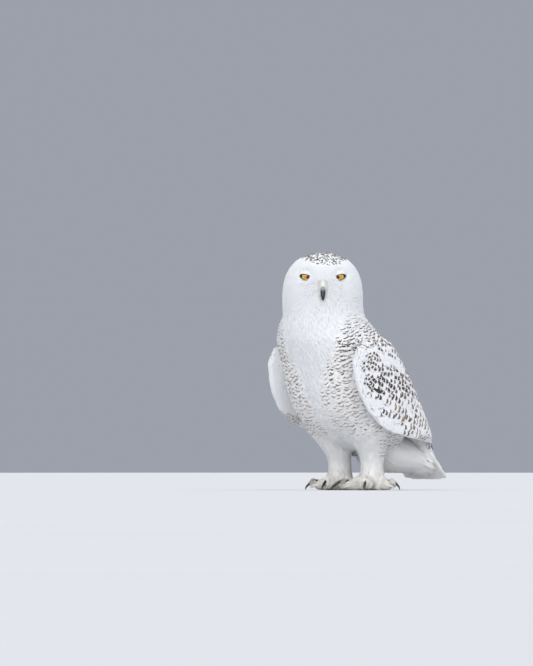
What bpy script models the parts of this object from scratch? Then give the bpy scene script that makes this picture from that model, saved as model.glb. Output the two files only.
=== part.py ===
"""A snowy owl, life size, standing with its head turned to its left and its wings hanging a little loose.

The tables hold millimetres and degrees, and the meshes metres, with +Z up. The floor is at height 0 and the owl
faces -Y, with its left side at +X. Right limbs are the left ones seen in the plane X = 0, apart from the toes.
"""

import math

import bmesh
import bpy
import numpy as np
from mathutils import Matrix, Vector

MM = 0.001
GAP = 0.3  # between pieces that touch
LOBED_GAP = 0.4  # round the wings, whose notched ends grow unevenly
BODY_SIDES = 26
LIMB_SIDES = 12
TOE_SIDES = 10
CLAW_SIDES = 6
MIDDLE_Y = 19.5  # of the whole owl, as the tables hold it: the meshes have it at Y = 0
MIRROR = np.array([-1, 1, 1])

# The plumage of head, neck and trunk, by height:
# height, centre forward or back (Y), half width, half depth, squareness, turn to the left
BODY = [
    (84, 26, 30, 34, 2.0, 0),
    (92, 26, 60, 56, 2.1, 0),
    (104, 24, 80, 74, 2.2, 0),
    (120, 15, 94, 91, 2.35, 0),
    (138, 6, 101, 106, 2.5, 0),
    (160, -5, 106, 117, 2.6, 0),
    (190, -18, 110, 120, 2.65, 0),
    (220, -31, 113, 118, 2.65, 0),
    (250, -42, 114, 114, 2.5, 0),
    (280, -58, 115, 108, 2.4, 0),
    (305, -72, 115, 103, 2.2, 3),
    (325, -82, 112, 98, 2.1, 10),
    (340, -88, 102, 91, 2.05, 20),
    (355, -93, 89, 86, 2.0, 30),
    (378, -97, 84.5, 81, 2.05, 42),
    (400, -98, 85, 79, 2.1, 45),
    (422, -98, 83.5, 78, 2.15, 45),
    (437, -98, 81, 77, 2.15, 45),
    (454, -98, 75.5, 74, 2.1, 45),
    (467, -98, 68, 67, 2.05, 45),
    (480, -98, 56, 55, 2.0, 45),
    (490, -98, 37, 37, 2.0, 45),
    (495, -98, 19, 19, 2.0, 45),
]
BODY_TOP = (0, -98, 497)
BODY_BOTTOM = (0, 26, 81)
BODY_RINGS = 21

HEAD_CENTRE = (0, -98)
HEAD_TURN = 45
NECK_TOP = ((0, -98, 383), 0)  # a point of the cut and its lean
NECK_FOOT = ((0, -93, 338), 10)

EYE_RADIUS = 16
EYE_SIDE, EYE_FRONT, EYE_HEIGHT = 33, 52, 443.5
# Swellings and hollows of the face: side, height, reach sideways, reach upwards, rise
FACE_FORMS = [
    (33, 442.5, 17, 14, -4.0),  # eye hollows
    (-33, 442.5, 17, 14, -4.0),
    (30, 461, 24, 9, 3.0),  # brows
    (-30, 461, 24, 9, 3.0),
    (0, 424, 11, 22, 6.0),  # bristles over the root of the bill
    (40, 415, 26, 22, 3.0),  # cheeks
    (-40, 415, 26, 22, 3.0),
    (0, 392, 30, 14, 2.0),  # chin
]

# Bills run along the middle of the face: distance in front of the head's centre, height, half width, half depth
BILL_UPPER = [
    (60, 427, 4.0, 4.0),
    (72, 425, 5.2, 4.8),
    (81, 418, 5.4, 4.8),
    (86, 408.5, 4.9, 4.2),
    (87.3, 400, 3.4, 2.8),
    (86.4, 394, 1.3, 1.1),
]
BILL_LOWER = [
    (62, 409, 3.6, 3.0),
    (72, 405, 4.2, 3.0),
    (79, 399.5, 3.4, 2.4),
    (82.5, 396, 1.2, 1.0),
]

# The outer face of the folded left wing, by height: its front edge, the corner that its curve leans to and its
# rear edge, each as X, Y. Under 126 the front edge is the lower edge, which runs back to the tip.
WING = [
    (328, 104, -68, 109, -40, 90, -34),
    (318, 117, -95, 126, -6, 84, -10),
    (300, 125, -120, 137, 26, 70, 17),
    (288, 127, -133, 140, 38, 64, 31),
    (270, 128, -134, 146, 53, 55, 51),
    (245, 129, -131, 150, 75, 46, 74),
    (220, 130, -125, 152, 98, 40, 91),
    (200, 131, -117, 152, 116, 34, 105),
    (175, 133, -103, 150, 135, 28, 122),
    (152, 135, -85, 147, 154, 25, 137),
    (138, 137, -68, 143, 159, 23, 148),
    (126, 139, -50, 139, 160, 24, 160),
    (113, 136, -5, 126, 157, 27, 171),
    (106, 125, 50, 108, 153, 30, 179),
    (101, 101, 108, 84, 158, 35, 184),
    (97, 72, 155, 61, 178, 42, 188),
]
# The right wing is tucked a little higher: under this height, its heights keep this share of their drop.
RIGHT_TUCK = (200, 0.84)
# Edges of the feather groups across the wing, from front edge (0) to rear edge (1): across, height
WING_TOP = [(0, 301), (0.12, 316), (0.4, 326), (1, 328)]
COVERTS_END = [(0, 127), (0.12, 140), (0.3, 172), (0.6, 200), (1, 232)]
SECONDARIES_END = [(0.33, 168), (0.42, 146), (0.6, 136), (0.8, 138), (1, 144)]
SECONDARIES_START = 1 / 3  # on a step of the grid
WING_TIP_HEIGHT = 97.5
WING_SEAM = 0.5
# Thickness across the wing and its share by height
WING_THICKNESS = [(0, 9), (0.05, 20), (0.15, 29), (0.3, 30), (0.6, 27), (0.85, 20), (1, 9)]
WING_THINNING = [(97, 0.16), (110, 0.35), (140, 0.75), (180, 1), (285, 1), (305, 0.6), (318, 0.3), (328, 0.15)]
WING_ACROSS = 15
LOBES = 7.5  # two steps of the grid to a lobe
LOBE_DEPTH = 5

# Tail: how far along, Y and height of its upper face, half width, thickness, droop of its sides
TAIL = [
    (0, 116, 163, 34, 34, 8),
    (0.28, 146, 131, 46, 26, 10),
    (0.55, 174, 96, 54, 17, 10),
    (0.82, 204, 53, 62, 9, 7),
    (1, 221, 22, 66, 5, 3),
]
TAIL_NORMAL = (0.8, 0.6)  # Y and height of the way that its upper face looks
TAIL_FEATHERS = 12
TAIL_ACROSS, TAIL_ALONG = 24, 3

# Coverts under the tail, from the vent back: Y, centre height, half width, half height
UNDERTAIL = [
    (16, 110, 28, 18),
    (32, 104, 54, 38),
    (60, 90, 66, 50),
    (95, 80, 65, 44),
    (130, 74, 61, 38),
    (160, 65, 55, 30),
    (182, 51, 44, 15),
    (194, 43, 26, 5),
]

UNDERTAIL_SIDES = 16

# Left leg in its feathers, from the floor up: height, X, Y, radius
LEG = [
    (14, 47, 2, 28),
    (28, 47, 2, 27.5),
    (42, 47, 2, 25.5),
    (58, 47.5, 1, 25),
    (70, 48, 0, 27),
    (83, 48.5, -2, 32),
    (102, 52, -8, 41),
    (120, 55, -16, 50),
    (138, 55, -25, 54),
    (160, 53, -27, 52),
    (182, 53, -20, 44),
    (198, 51, -14, 24),
]
KNEE_CUT = 74

FOOT_X, FOOT_Y = 47, 2
FOOT_RADIUS, FOOT_HEIGHT = 30, 25
# Toes: side of the body, name, direction from straight ahead towards +X, reach of the toe, reach of the claw, thickness
TOES = [
    ("left", "inner", -45, 56, 85, 3.7),
    ("left", "middle", 32, 56, 78, 3.7),
    ("left", "outer", 105, 47, 66, 3.2),
    ("left", "hind", 200, 40, 60, 3.4),
    ("right", "inner", 82, 40, 60, 3.4),
    ("right", "middle", 15, 52, 75, 3.7),
    ("right", "outer", -45, 53, 72, 3.4),
    ("right", "hind", 160, 40, 60, 3.4),
]
# Along each toe from under the leg, where it swells: share of its reach, half width, half height
TOE = [
    (0.25, 13.4, 19),
    (0.5, 13.4, 16),
    (0.7, 13, 13.2),
    (0.87, 12, 11.2),
    (0.96, 9.3, 8.6),
    (1, 5, 4.6),
]
TOE_MIDDLE = 10.5  # least height of its middle line
SOLE = 1.2  # depth of the flat pressed under each toe
CLAW_HEIGHT = 16
CLAW_RISE = 6


def glide(table, at):
    """The rest of a table's row at a value of its first column, on a smooth curve through the rows."""
    rows = np.array(sorted(table), float)
    key, value = rows[:, 0], rows[:, 1:]
    slope = np.diff(value, axis=0) / np.diff(key)[:, None]
    tangent = np.vstack([slope[:1], (slope[1:] + slope[:-1]) / 2, slope[-1:]])
    i = int(np.clip(np.searchsorted(key, at) - 1, 0, len(key) - 2))
    step = key[i + 1] - key[i]
    t = min(max((at - key[i]) / step, 0.0), 1.0)
    ease = t * t * (3 - 2 * t)
    return (
        value[i] * (1 - ease)
        + value[i + 1] * ease
        + tangent[i] * step * t * (1 - t) ** 2
        - tangent[i + 1] * step * t * t * (1 - t)
    )


def bend(angle, power):
    """Cosine and sine of a superellipse, where 2 is round and more is squarer."""
    c, s = math.cos(angle), math.sin(angle)
    return math.copysign(abs(c) ** (2 / power), c), math.copysign(abs(s) ** (2 / power), s)


def turned(side, front, turn):
    """X and Y of a point given as its distance to the owl's left and forward, for a part that is turned."""
    a = math.radians(turn)
    return side * math.cos(a) + front * math.sin(a), side * math.sin(a) - front * math.cos(a)


def head_point(side, front, height):
    x, y = turned(side, front, HEAD_TURN)
    return np.array([HEAD_CENTRE[0] + x, HEAD_CENTRE[1] + y, height])


def face_rise(side, front, height):
    """How far the face stands out at a place on the front of the head."""
    if front <= 0:
        return 0.0
    rise = sum(
        up * math.exp(-(((side - s) / reach_s) ** 2) - ((height - h) / reach_h) ** 2)
        for s, h, reach_s, reach_h, up in FACE_FORMS
    )
    return rise * min(front / 40, 1.0)


def body_ring(height):
    centre, half_wide, half_deep, power, turn = glide(BODY, height)
    ring = []
    for k in range(BODY_SIDES):
        c, s = bend(2 * math.pi * k / BODY_SIDES, power)
        side, front = half_wide * c, half_deep * s
        front += face_rise(side, front, height)
        x, y = turned(side, front, turn)
        ring.append((x, centre + y, height))
    return ring


# Meshes


def loft(rings, first=None, last=None):
    """A closed mesh over rings of the same count of points, with a point or a flat lid at each end."""
    bm = bmesh.new()
    rows = [[bm.verts.new(Vector(p) * MM) for p in ring] for ring in rings]
    for low, high in zip(rows, rows[1:]):
        for k in range(len(low)):
            bm.faces.new((low[k - 1], low[k], high[k], high[k - 1]))
    for row, tip in ((rows[0], first), (rows[-1], last)):
        if tip is None:
            bm.faces.new(row)
            continue
        point = bm.verts.new(Vector(tip) * MM)
        for k in range(len(row)):
            bm.faces.new((row[k - 1], row[k], point))
    bmesh.ops.recalc_face_normals(bm, faces=bm.faces)
    return bm


def slab(outer, inner, across, along):
    """A closed sheet between two faces, each a function of two shares from 0 to 1."""
    bm = bmesh.new()
    spots = [(i, j) for i in range(across + 1) for j in range(along + 1)]
    grids = [
        {(i, j): bm.verts.new(Vector(face(i / across, j / along)) * MM) for i, j in spots}
        for face in (outer, inner)
    ]
    for grid in grids:
        for i in range(across):
            for j in range(along):
                bm.faces.new((grid[i, j], grid[i + 1, j], grid[i + 1, j + 1], grid[i, j + 1]))
    rim = [(i, 0) for i in range(across)] + [(across, j) for j in range(along)]
    rim += [(i, along) for i in range(across, 0, -1)] + [(0, j) for j in range(along, 0, -1)]
    for spot, after in zip(rim, rim[1:] + rim[:1]):
        bm.faces.new((grids[0][spot], grids[0][after], grids[1][after], grids[1][spot]))
    bmesh.ops.recalc_face_normals(bm, faces=bm.faces)
    return bm


def tube(path, sides):
    """A closed horn along rows of position, half width and half height in one upright plane, with a pointed end."""
    rings = []
    points = [np.array(row[:3], float) for row in path]
    side = np.cross(points[1] - points[0], (0, 0, 1))
    side /= np.linalg.norm(side)
    for i, row in enumerate(path):
        ahead = points[min(i + 1, len(path) - 1)] - points[max(i - 1, 0)]
        up = np.cross(side, ahead / np.linalg.norm(ahead))
        turns = [2 * math.pi * k / sides for k in range(sides)]
        rings.append([points[i] + side * row[3] * math.cos(t) + up * row[4] * math.sin(t) for t in turns])
    ahead = points[-1] - points[-2]
    tip = points[-1] + ahead / np.linalg.norm(ahead) * min(path[-1][3:])
    return loft(rings, None, tip)


def keep_side(bm, point, normal):
    """Cuts a mesh with a plane, keeps the side that the normal leaves and closes the cut."""
    cut = bmesh.ops.bisect_plane(
        bm,
        geom=bm.verts[:] + bm.edges[:] + bm.faces[:],
        plane_co=Vector(point) * MM,
        plane_no=Vector(normal),
        clear_outer=True,
    )
    edges = [e for e in cut["geom_cut"] if isinstance(e, bmesh.types.BMEdge)]
    bmesh.ops.edgeloop_fill(bm, edges=edges)
    bmesh.ops.recalc_face_normals(bm, faces=bm.faces)


def press_flat(bm):
    """Flattens what lies under the floor into a sole."""
    for vert in bm.verts:
        vert.co.z = max(vert.co.z, 0.0)


# Objects


def new_collection(name):
    group = bpy.data.collections.new(name)
    bpy.context.scene.collection.children.link(group)
    return group


def add(name, bm, look, group):
    """Makes an object of a mesh in work, with its own material of a colour and a roughness."""
    bmesh.ops.translate(bm, verts=bm.verts, vec=(0, -MIDDLE_Y * MM, 0))
    # A bent quad would split along one diagonal in a piece and along the other in what is cut to clear it.
    bmesh.ops.triangulate(bm, faces=bm.faces)
    mesh = bpy.data.meshes.new(name)
    bm.to_mesh(mesh)
    bm.free()
    mesh.shade_smooth()
    mesh.set_sharp_from_angle(angle=math.radians(50))
    colour, roughness = look
    material = bpy.data.materials.new(name)
    material.use_nodes = True
    shader = material.node_tree.nodes["Principled BSDF"]
    shader.inputs["Base Color"].default_value = (*colour, 1)
    shader.inputs["Roughness"].default_value = roughness
    mesh.materials.append(material)
    obj = bpy.data.objects.new(name, mesh)
    group.objects.link(obj)
    return obj


def grown(obj, cutters, gap=GAP):
    """A cutter: the object made bigger by the gap all round, with every face moved out by the gap."""
    bm = bmesh.new()
    bm.from_mesh(obj.data)
    bm.normal_update()
    moves = []
    for vert in bm.verts:
        facing = np.array([face.normal for face in vert.link_faces])
        move = np.linalg.lstsq(facing, np.full(len(facing), gap * MM), rcond=0.1)[0]
        moves.append(Vector(move))
    for vert, move in zip(bm.verts, moves):
        vert.co += move
    mesh = bpy.data.meshes.new(obj.name + "_room")
    bm.to_mesh(mesh)
    bm.free()
    cutter = bpy.data.objects.new(mesh.name, mesh)
    cutter.hide_render = True
    cutter.display_type = "WIRE"
    cutters.objects.link(cutter)
    return cutter


def make_room(obj, *cutters, solver="EXACT"):
    for cutter in cutters:
        cut = obj.modifiers.new(cutter.name, "BOOLEAN")
        cut.operation = "DIFFERENCE"
        cut.solver = solver
        cut.object = cutter


# Sub-parts

PLUMAGE = ((0.80, 0.81, 0.83), 0.9)
BARRED = ((0.66, 0.63, 0.61), 0.9)
WING_WHITE = ((0.72, 0.72, 0.74), 0.85)
QUILLS = ((0.84, 0.84, 0.86), 0.75)
STAINED = ((0.74, 0.72, 0.64), 0.9)
HORN = ((0.03, 0.03, 0.035), 0.35)
IRIS = ((0.75, 0.42, 0.04), 0.1)


def body_mesh():
    low, high = BODY[0][0], BODY[-1][0]
    rings = []
    for i in range(BODY_RINGS):
        share = i / (BODY_RINGS - 1)
        closer = (1 - math.cos(math.pi * share)) / 2  # rings stand closer at both ends
        rings.append(body_ring(low + (high - low) * (0.6 * share + 0.4 * closer)))
    return loft(rings, BODY_BOTTOM, BODY_TOP)


def tilted(lean, way):
    """Normal of a cut that rises to the rear by an angle, pointing up for way 1 and down for way -1."""
    a = math.radians(lean)
    return np.array([0, -math.sin(a), math.cos(a)]) * way


def make_body(parts):
    """Head, neck and trunk: one form, parted by two thin cuts."""
    cuts = {"head": ((NECK_TOP, -1),), "neck": ((NECK_TOP, 1), (NECK_FOOT, -1)), "trunk": ((NECK_FOOT, 1),)}
    made = []
    for name, look in (("head", PLUMAGE), ("neck", PLUMAGE), ("trunk", BARRED)):
        bm = body_mesh()
        for (point, lean), way in cuts[name]:
            normal = tilted(lean, way)
            keep_side(bm, np.array(point) - normal * GAP / 2, normal)
        made.append(add(name, bm, look, parts))
    return made


def make_face(parts):
    """Both eyes and the two halves of the bill."""
    made = []
    for name, side in (("eye_left", 1), ("eye_right", -1)):
        bm = bmesh.new()
        place = Matrix.Translation(Vector(head_point(side * EYE_SIDE, EYE_FRONT, EYE_HEIGHT)) * MM)
        bmesh.ops.create_uvsphere(bm, u_segments=12, v_segments=8, radius=EYE_RADIUS * MM, matrix=place)
        made.append(add(name, bm, IRIS, parts))
    for name, rows in (("bill_upper", BILL_UPPER), ("bill_lower", BILL_LOWER)):
        path = [(*head_point(0, front, height), wide, deep) for front, height, wide, deep in rows]
        made.append(add(name, tube(path, CLAW_SIDES), HORN, parts))
    return made


def wing_point(height, across, depth):
    """A place of the wing, at a depth under its outer face."""
    row = glide(WING, height)
    edge, corner, rear = row[:2], row[2:4], row[4:]
    place = (1 - across) ** 2 * edge + 2 * across * (1 - across) * corner + across**2 * rear
    ahead = (1 - across) * (corner - edge) + across * (rear - corner)
    inward = np.array([-ahead[1], ahead[0]]) / np.linalg.norm(ahead)
    return np.array([*(place + inward * depth), height])


def coverts_end(across):
    lobe = LOBE_DEPTH * (1 - abs(math.sin(math.pi * LOBES * across)))
    return glide(COVERTS_END, across)[0] + lobe


def secondaries_end(across):
    lobe = LOBE_DEPTH * (1 - abs(math.sin(math.pi * LOBES * across)))
    return min(glide(SECONDARIES_END, across)[0] + lobe, coverts_end(across) - 3)


def primaries_start(across):
    return coverts_end(across) if across < SECONDARIES_START - 0.001 else secondaries_end(across)


def on_side(point, mirror):
    """A point of the left wing, or its place on the right wing."""
    x, y, z = point * mirror
    start, share = RIGHT_TUCK
    if mirror[0] < 0 and z < start:
        z = start - (start - z) * share
    return np.array([x, y, z])


def wing_piece(mirror, start, end, first, rise, along):
    """One feather group between two limits of height, from a place across the wing to its rear edge."""
    def place(a, b):
        across = first + (1 - first) * a
        return start(across) + (end(across) - start(across)) * b, across

    def outer(a, b):
        return on_side(wing_point(*place(a, b), -rise), mirror)

    def inner(a, b):
        height, across = place(a, b)
        depth = glide(WING_THICKNESS, across)[0] * glide(WING_THINNING, height)[0]
        return on_side(wing_point(height, across, depth), mirror)

    return slab(outer, inner, round(WING_ACROSS * (1 - first)), along)


def make_wing(side, mirror, parts):
    """Coverts, secondaries and primaries, each group starting where the one above it ends."""
    groups = [
        ("coverts", lambda a: glide(WING_TOP, a)[0], coverts_end, 0, 2, 5, WING_WHITE),
        ("secondaries", lambda a: coverts_end(a) - WING_SEAM, secondaries_end, SECONDARIES_START, 1, 2, WING_WHITE),
        ("primaries", lambda a: primaries_start(a) - WING_SEAM, lambda a: WING_TIP_HEIGHT, 0, 0, 4, QUILLS),
    ]
    return [
        add(f"wing_{side}_{name}", wing_piece(mirror, start, end, first, rise, along), look, parts)
        for name, start, end, first, rise, along, look in groups
    ]


def tail_outline(across):
    """How far each place across the tail reaches, with the round end of every feather."""
    lobes = abs(math.sin(math.pi * TAIL_FEATHERS / 2 * (across + 1)))
    return 1 - 0.05 * abs(across) ** 3 - 0.035 * (1 - lobes)


def make_tail(parts):
    def outer(a, b):
        across = 2 * a - 1
        y, z, half_wide, _, droop = glide(TAIL, b * tail_outline(across))
        return half_wide * across, y, z - droop * across**2

    def inner(a, b):
        across = 2 * a - 1
        thickness = glide(TAIL, b * tail_outline(across))[3] * (1 - 0.45 * abs(across) ** 3)
        x, y, z = outer(a, b)
        return x, y - thickness * TAIL_NORMAL[0], z - thickness * TAIL_NORMAL[1]

    tail = add("tail", slab(outer, inner, TAIL_ACROSS, TAIL_ALONG), QUILLS, parts)
    rings = []
    for y, z, half_wide, half_high in UNDERTAIL:
        turns = [2 * math.pi * k / UNDERTAIL_SIDES for k in range(UNDERTAIL_SIDES)]
        rings.append([(half_wide * math.cos(t), y, z + half_high * math.sin(t)) for t in turns])
    under = add("undertail", loft(rings), PLUMAGE, parts)
    return tail, under


def leg_rings(low, high, mirror, count):
    rings = []
    for i in range(count):
        height = low + (high - low) * i / (count - 1)
        x, y, radius = glide(LEG, height)
        turns = [2 * math.pi * k / LIMB_SIDES for k in range(LIMB_SIDES)]
        rings.append([np.array([x + radius * math.cos(t), y + radius * math.sin(t), height]) * mirror for t in turns])
    return rings


def make_leg(side, mirror, parts):
    thigh_rings = leg_rings(KNEE_CUT + GAP / 2, LEG[-1][0], mirror, 6)
    thigh = add(f"thigh_{side}", loft(thigh_rings), BARRED, parts)
    leg = add(f"leg_{side}", loft(leg_rings(LEG[0][0], KNEE_CUT - GAP / 2, mirror, 5)), PLUMAGE, parts)
    return thigh, leg


def make_foot(side, mirror, parts):
    """The ball of the foot, as a turned dome on a flat sole."""
    x, y = FOOT_X * mirror[0], FOOT_Y
    rings = []
    for i in range(5):
        lift = math.sin(math.pi / 2 * i / 5)
        radius = FOOT_RADIUS * (1 - lift**3) ** (1 / 3)
        turns = [2 * math.pi * k / LIMB_SIDES for k in range(LIMB_SIDES)]
        rings.append([(x + radius * math.cos(t), y + radius * math.sin(t), FOOT_HEIGHT * lift) for t in turns])
    return add(f"foot_{side}", loft(rings, None, (x, y, FOOT_HEIGHT)), STAINED, parts)


def make_toe(side, name, direction, toe_reach, claw_reach, claw_radius, parts):
    mirror = 1 if side == "left" else -1
    a = math.radians(direction)
    ahead = np.array([math.sin(a), -math.cos(a), 0])
    hub = np.array([FOOT_X * mirror, FOOT_Y, 0])
    path = []
    for share, wide, high in TOE:
        place = hub + ahead * toe_reach * share + (0, 0, max(high, TOE_MIDDLE) - SOLE)
        path.append((*place, wide, high))
    bm = tube(path, TOE_SIDES)
    press_flat(bm)
    toe = add(f"toe_{side}_{name}", bm, STAINED, parts)
    claw_start = toe_reach - 9
    length = claw_reach - claw_start
    path = []
    for i in range(6):
        t = i / 5
        out = claw_start + length * math.sin(t * math.pi / 2) ** 1.1
        height = CLAW_HEIGHT + CLAW_RISE * math.sin(math.pi * min(t * 1.5, 1)) * (1 - t)
        height += (1.4 - CLAW_HEIGHT) * t**2.2
        radius = claw_radius * (1 - t) ** 0.7 + 0.5
        path.append((*(hub + ahead * out + (0, 0, height)), radius * 0.85, radius))
    claw = add(f"claw_{side}_{name}", tube(path, CLAW_SIDES), HORN, parts)
    return toe, claw


def main():
    for obj in list(bpy.data.objects):
        bpy.data.objects.remove(obj)
    parts, cutters = new_collection("snowy_owl"), new_collection("cutters")
    cutters.hide_render = True

    head, neck, trunk = make_body(parts)
    make_room(head, *(grown(piece, cutters) for piece in make_face(parts)))
    tail, under = make_tail(parts)
    tail_room = grown(tail, cutters)
    make_room(under, tail_room)
    wings, thigh_rooms = [], []
    for side, mirror in (("left", np.array([1, 1, 1])), ("right", MIRROR)):
        wings += make_wing(side, mirror, parts)
        thigh, leg = make_leg(side, mirror, parts)
        thigh_rooms.append(grown(thigh, cutters))
        foot_room = grown(make_foot(side, mirror, parts), cutters)
        make_room(leg, foot_room)
        leg_room = grown(leg, cutters)
        for toe_side, *row in TOES:
            if toe_side == side:
                toe, claw = make_toe(side, *row, parts)
                make_room(toe, foot_room, leg_room, grown(claw, cutters))
    make_room(under, *thigh_rooms)
    # Ten cuts in a row are more than the exact solver gets through on the trunk.
    rooms = [*thigh_rooms, grown(under, cutters), tail_room, *(grown(wing, cutters, LOBED_GAP) for wing in wings)]
    make_room(trunk, *rooms, solver="MANIFOLD")


main()
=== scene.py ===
"""The finish of a life-size snowy owl: its skin, every layer of feathers, eyes, bill and claws.

Lengths in the tables are millimetres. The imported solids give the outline: the feathers' tips lie in it, and
the skin lies under it by the depth of the coat. The owl faces -Y, with its left side at +X and its head
turned.
"""

import math

import bmesh
import bpy
import numpy as np
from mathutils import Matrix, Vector
from mathutils.bvhtree import BVHTree
from mathutils.kdtree import KDTree


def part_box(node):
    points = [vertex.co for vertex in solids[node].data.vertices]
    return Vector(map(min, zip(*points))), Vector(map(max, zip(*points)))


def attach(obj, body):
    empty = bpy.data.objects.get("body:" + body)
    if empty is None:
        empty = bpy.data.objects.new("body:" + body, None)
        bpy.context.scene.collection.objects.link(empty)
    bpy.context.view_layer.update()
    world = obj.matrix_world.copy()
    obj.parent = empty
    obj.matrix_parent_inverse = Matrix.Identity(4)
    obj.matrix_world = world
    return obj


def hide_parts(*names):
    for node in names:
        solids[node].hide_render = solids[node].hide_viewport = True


MM = 0.001
UP = np.array([0.0, 0.0, 1.0])
LEVEL = np.array([1.0, 1.0, 0.0])  # what keeps only the level part of a place or a way
SIDES = ("left", "right")
OUTWARD = {"left": 1, "right": -1}  # along X
TOES = ("inner", "middle", "outer", "hind")
WINGS = ("coverts", "secondaries", "primaries")

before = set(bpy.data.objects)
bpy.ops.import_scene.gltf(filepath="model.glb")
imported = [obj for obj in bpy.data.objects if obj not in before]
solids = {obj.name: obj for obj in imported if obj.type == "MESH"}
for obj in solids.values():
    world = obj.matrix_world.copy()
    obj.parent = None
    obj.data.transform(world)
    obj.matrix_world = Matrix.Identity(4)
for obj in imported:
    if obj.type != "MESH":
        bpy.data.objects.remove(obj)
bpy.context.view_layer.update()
FLESH = [n for n in sorted(solids) if not n.startswith(("claw", "eye", "bill"))]


# Places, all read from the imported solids


def corners(name):
    low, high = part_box(name)
    return np.array(low), np.array(high)


def middle(name):
    low, high = corners(name)
    return (low + high) / 2


def wing_tip(side):
    low, high = corners(f"wing_{side}_primaries")
    return np.array([46 * MM * OUTWARD[side], high[1], low[2]])


def unit(v):
    v = np.asarray(v, float)
    return v / np.maximum(np.linalg.norm(v, axis=-1, keepdims=True), 1e-9)


def square_to(way, axis):
    """A way without its part along an axis."""
    return unit(way - axis * np.sum(way * axis, axis=-1, keepdims=True))


EYES = {side: middle(f"eye_{side}") for side in SIDES}
EYE_RADIUS = (corners("eye_left")[1] - corners("eye_left")[0])[2] / 2
BETWEEN_EYES = (EYES["left"] + EYES["right"]) / 2
FACE_LEFT = unit((EYES["left"] - EYES["right"]) * LEVEL)
FACE_AHEAD = np.cross(FACE_LEFT, UP)
CHIN, CROWN = (corner[2] for corner in corners("head"))
HEAD_AXIS = BETWEEN_EYES * LEVEL - FACE_AHEAD * 52 * MM
BILL_ROOT = BETWEEN_EYES + FACE_AHEAD * 14 * MM - UP * 22 * MM
FEET = {side: middle(f"foot_{side}") * LEVEL for side in SIDES}
WING_TIPS = {side: wing_tip(side) for side in SIDES}


def face_point(side, ahead, up):
    """A point given from the middle between the eyes, in millimetres to its left, ahead and up."""
    return BETWEEN_EYES + (FACE_LEFT * side + FACE_AHEAD * ahead + UP * up) * MM


def toe_ways(name, side):
    """The level ways ahead and across of a toe or a claw."""
    ahead = unit((middle(name) - FEET[side]) * LEVEL)
    return ahead, np.cross(ahead, UP)


def ramp(value, low, high):
    """0 under low, 1 over high and smooth between them."""
    t = np.clip((value - low) / (high - low), 0, 1)
    return t * t * (3 - 2 * t)


# Meshes and objects


def read(items, field, width, kind=np.float32):
    values = np.empty(len(items) * width, kind)
    items.foreach_get(field, values)
    return values.reshape(-1, width)


def points_of(mesh):
    return read(mesh.vertices, "co", 3).astype(float)


def set_points(mesh, points):
    mesh.vertices.foreach_set("co", points.astype(np.float32).ravel())


def carry(mesh, name, values):
    """Gives each point of a mesh a number or a way."""
    layer = mesh.attributes.new(name, "FLOAT_VECTOR" if values.ndim == 2 else "FLOAT", "POINT")
    layer.data.foreach_set("vector" if values.ndim == 2 else "value", values.astype(np.float32).ravel())


def linked(name, data):
    obj = bpy.data.objects.new(name, data)
    bpy.context.scene.collection.objects.link(obj)
    return obj


def evaluated(obj):
    """The object's mesh with its modifiers applied. The object itself goes."""
    mesh = bpy.data.meshes.new_from_object(obj.evaluated_get(bpy.context.evaluated_depsgraph_get()))
    bpy.data.objects.remove(obj)
    return mesh


def mesh_of(bm, name):
    mesh = bpy.data.meshes.new(name)
    bm.to_mesh(mesh)
    bm.free()
    return mesh


def new_piece(name, mesh, slot, *stands_for):
    obj = linked(name, mesh)
    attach(obj, "root")
    if stands_for:
        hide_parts(*stands_for)
    return obj


def smooth_piece(bm, name, finish, slot, *stands_for):
    """A piece from a closed mesh, with its faces outwards."""
    bmesh.ops.recalc_face_normals(bm, faces=bm.faces)
    mesh = mesh_of(bm, name)
    mesh.materials.append(finish)
    mesh.shade_smooth()
    return new_piece(name, mesh, slot, *stands_for)


def span(bm, rings):
    """Faces between each ring of points and the next."""
    for low, high in zip(rings, rings[1:]):
        for k in range(len(low)):
            bm.faces.new((low[k - 1], low[k], high[k], high[k - 1]))


# Node trees


class Value:
    """What comes out of a node, so that nodes can be combined in a formula as numbers are."""

    def __init__(self, socket):
        self.socket = socket

    def maths(self, operation, *others):
        inputs = dict(enumerate((self, *others)))
        return value_of(self.socket.id_data, "ShaderNodeMath", inputs, operation=operation)

    def __add__(self, other):
        return self.maths("ADD", other)

    def __sub__(self, other):
        return self.maths("SUBTRACT", other)

    def __rsub__(self, other):
        return self.maths("MULTIPLY_ADD", -1.0, other)

    def __mul__(self, other):
        return self.maths("MULTIPLY", other)

    def __abs__(self):
        return self.maths("ABSOLUTE")


def fill(node, inputs):
    """Fills or links a node's inputs, by name or number."""
    for key, value in inputs.items():
        if isinstance(value, Value):
            node.id_data.links.new(value.socket, node.inputs[key])
        else:
            node.inputs[key].default_value = value


def value_of(tree, kind, inputs, output=0, **settings):
    """Adds a node, sets its properties, fills its inputs and gives one of its outputs."""
    node = tree.nodes.new(kind)
    for key, setting in settings.items():
        setattr(node, key, setting)
    fill(node, inputs)
    return Value(node.outputs[output])


def step(value, low, high):
    """0 under low, 1 over high and smooth between them."""
    ends = {0: value, 1: low, 2: high, 3: 0.0, 4: 1.0}
    return value_of(value.socket.id_data, "ShaderNodeMapRange", ends, interpolation_type="SMOOTHSTEP")


def blend(share, first, second):
    parts = {0: share, 6: first, 7: second}
    return value_of(share.socket.id_data, "ShaderNodeMix", parts, output=2, data_type="RGBA")


def carried(tree, name):
    """A number that the mesh carries."""
    return value_of(tree, "ShaderNodeAttribute", {}, output="Fac", attribute_name=name)


def noise(tree, scale, detail=3.0, place=None):
    place = place or value_of(tree, "ShaderNodeTexCoord", {}, output="Object")
    return value_of(tree, "ShaderNodeTexNoise", {"Vector": place, "Scale": scale, "Detail": detail})


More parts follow.
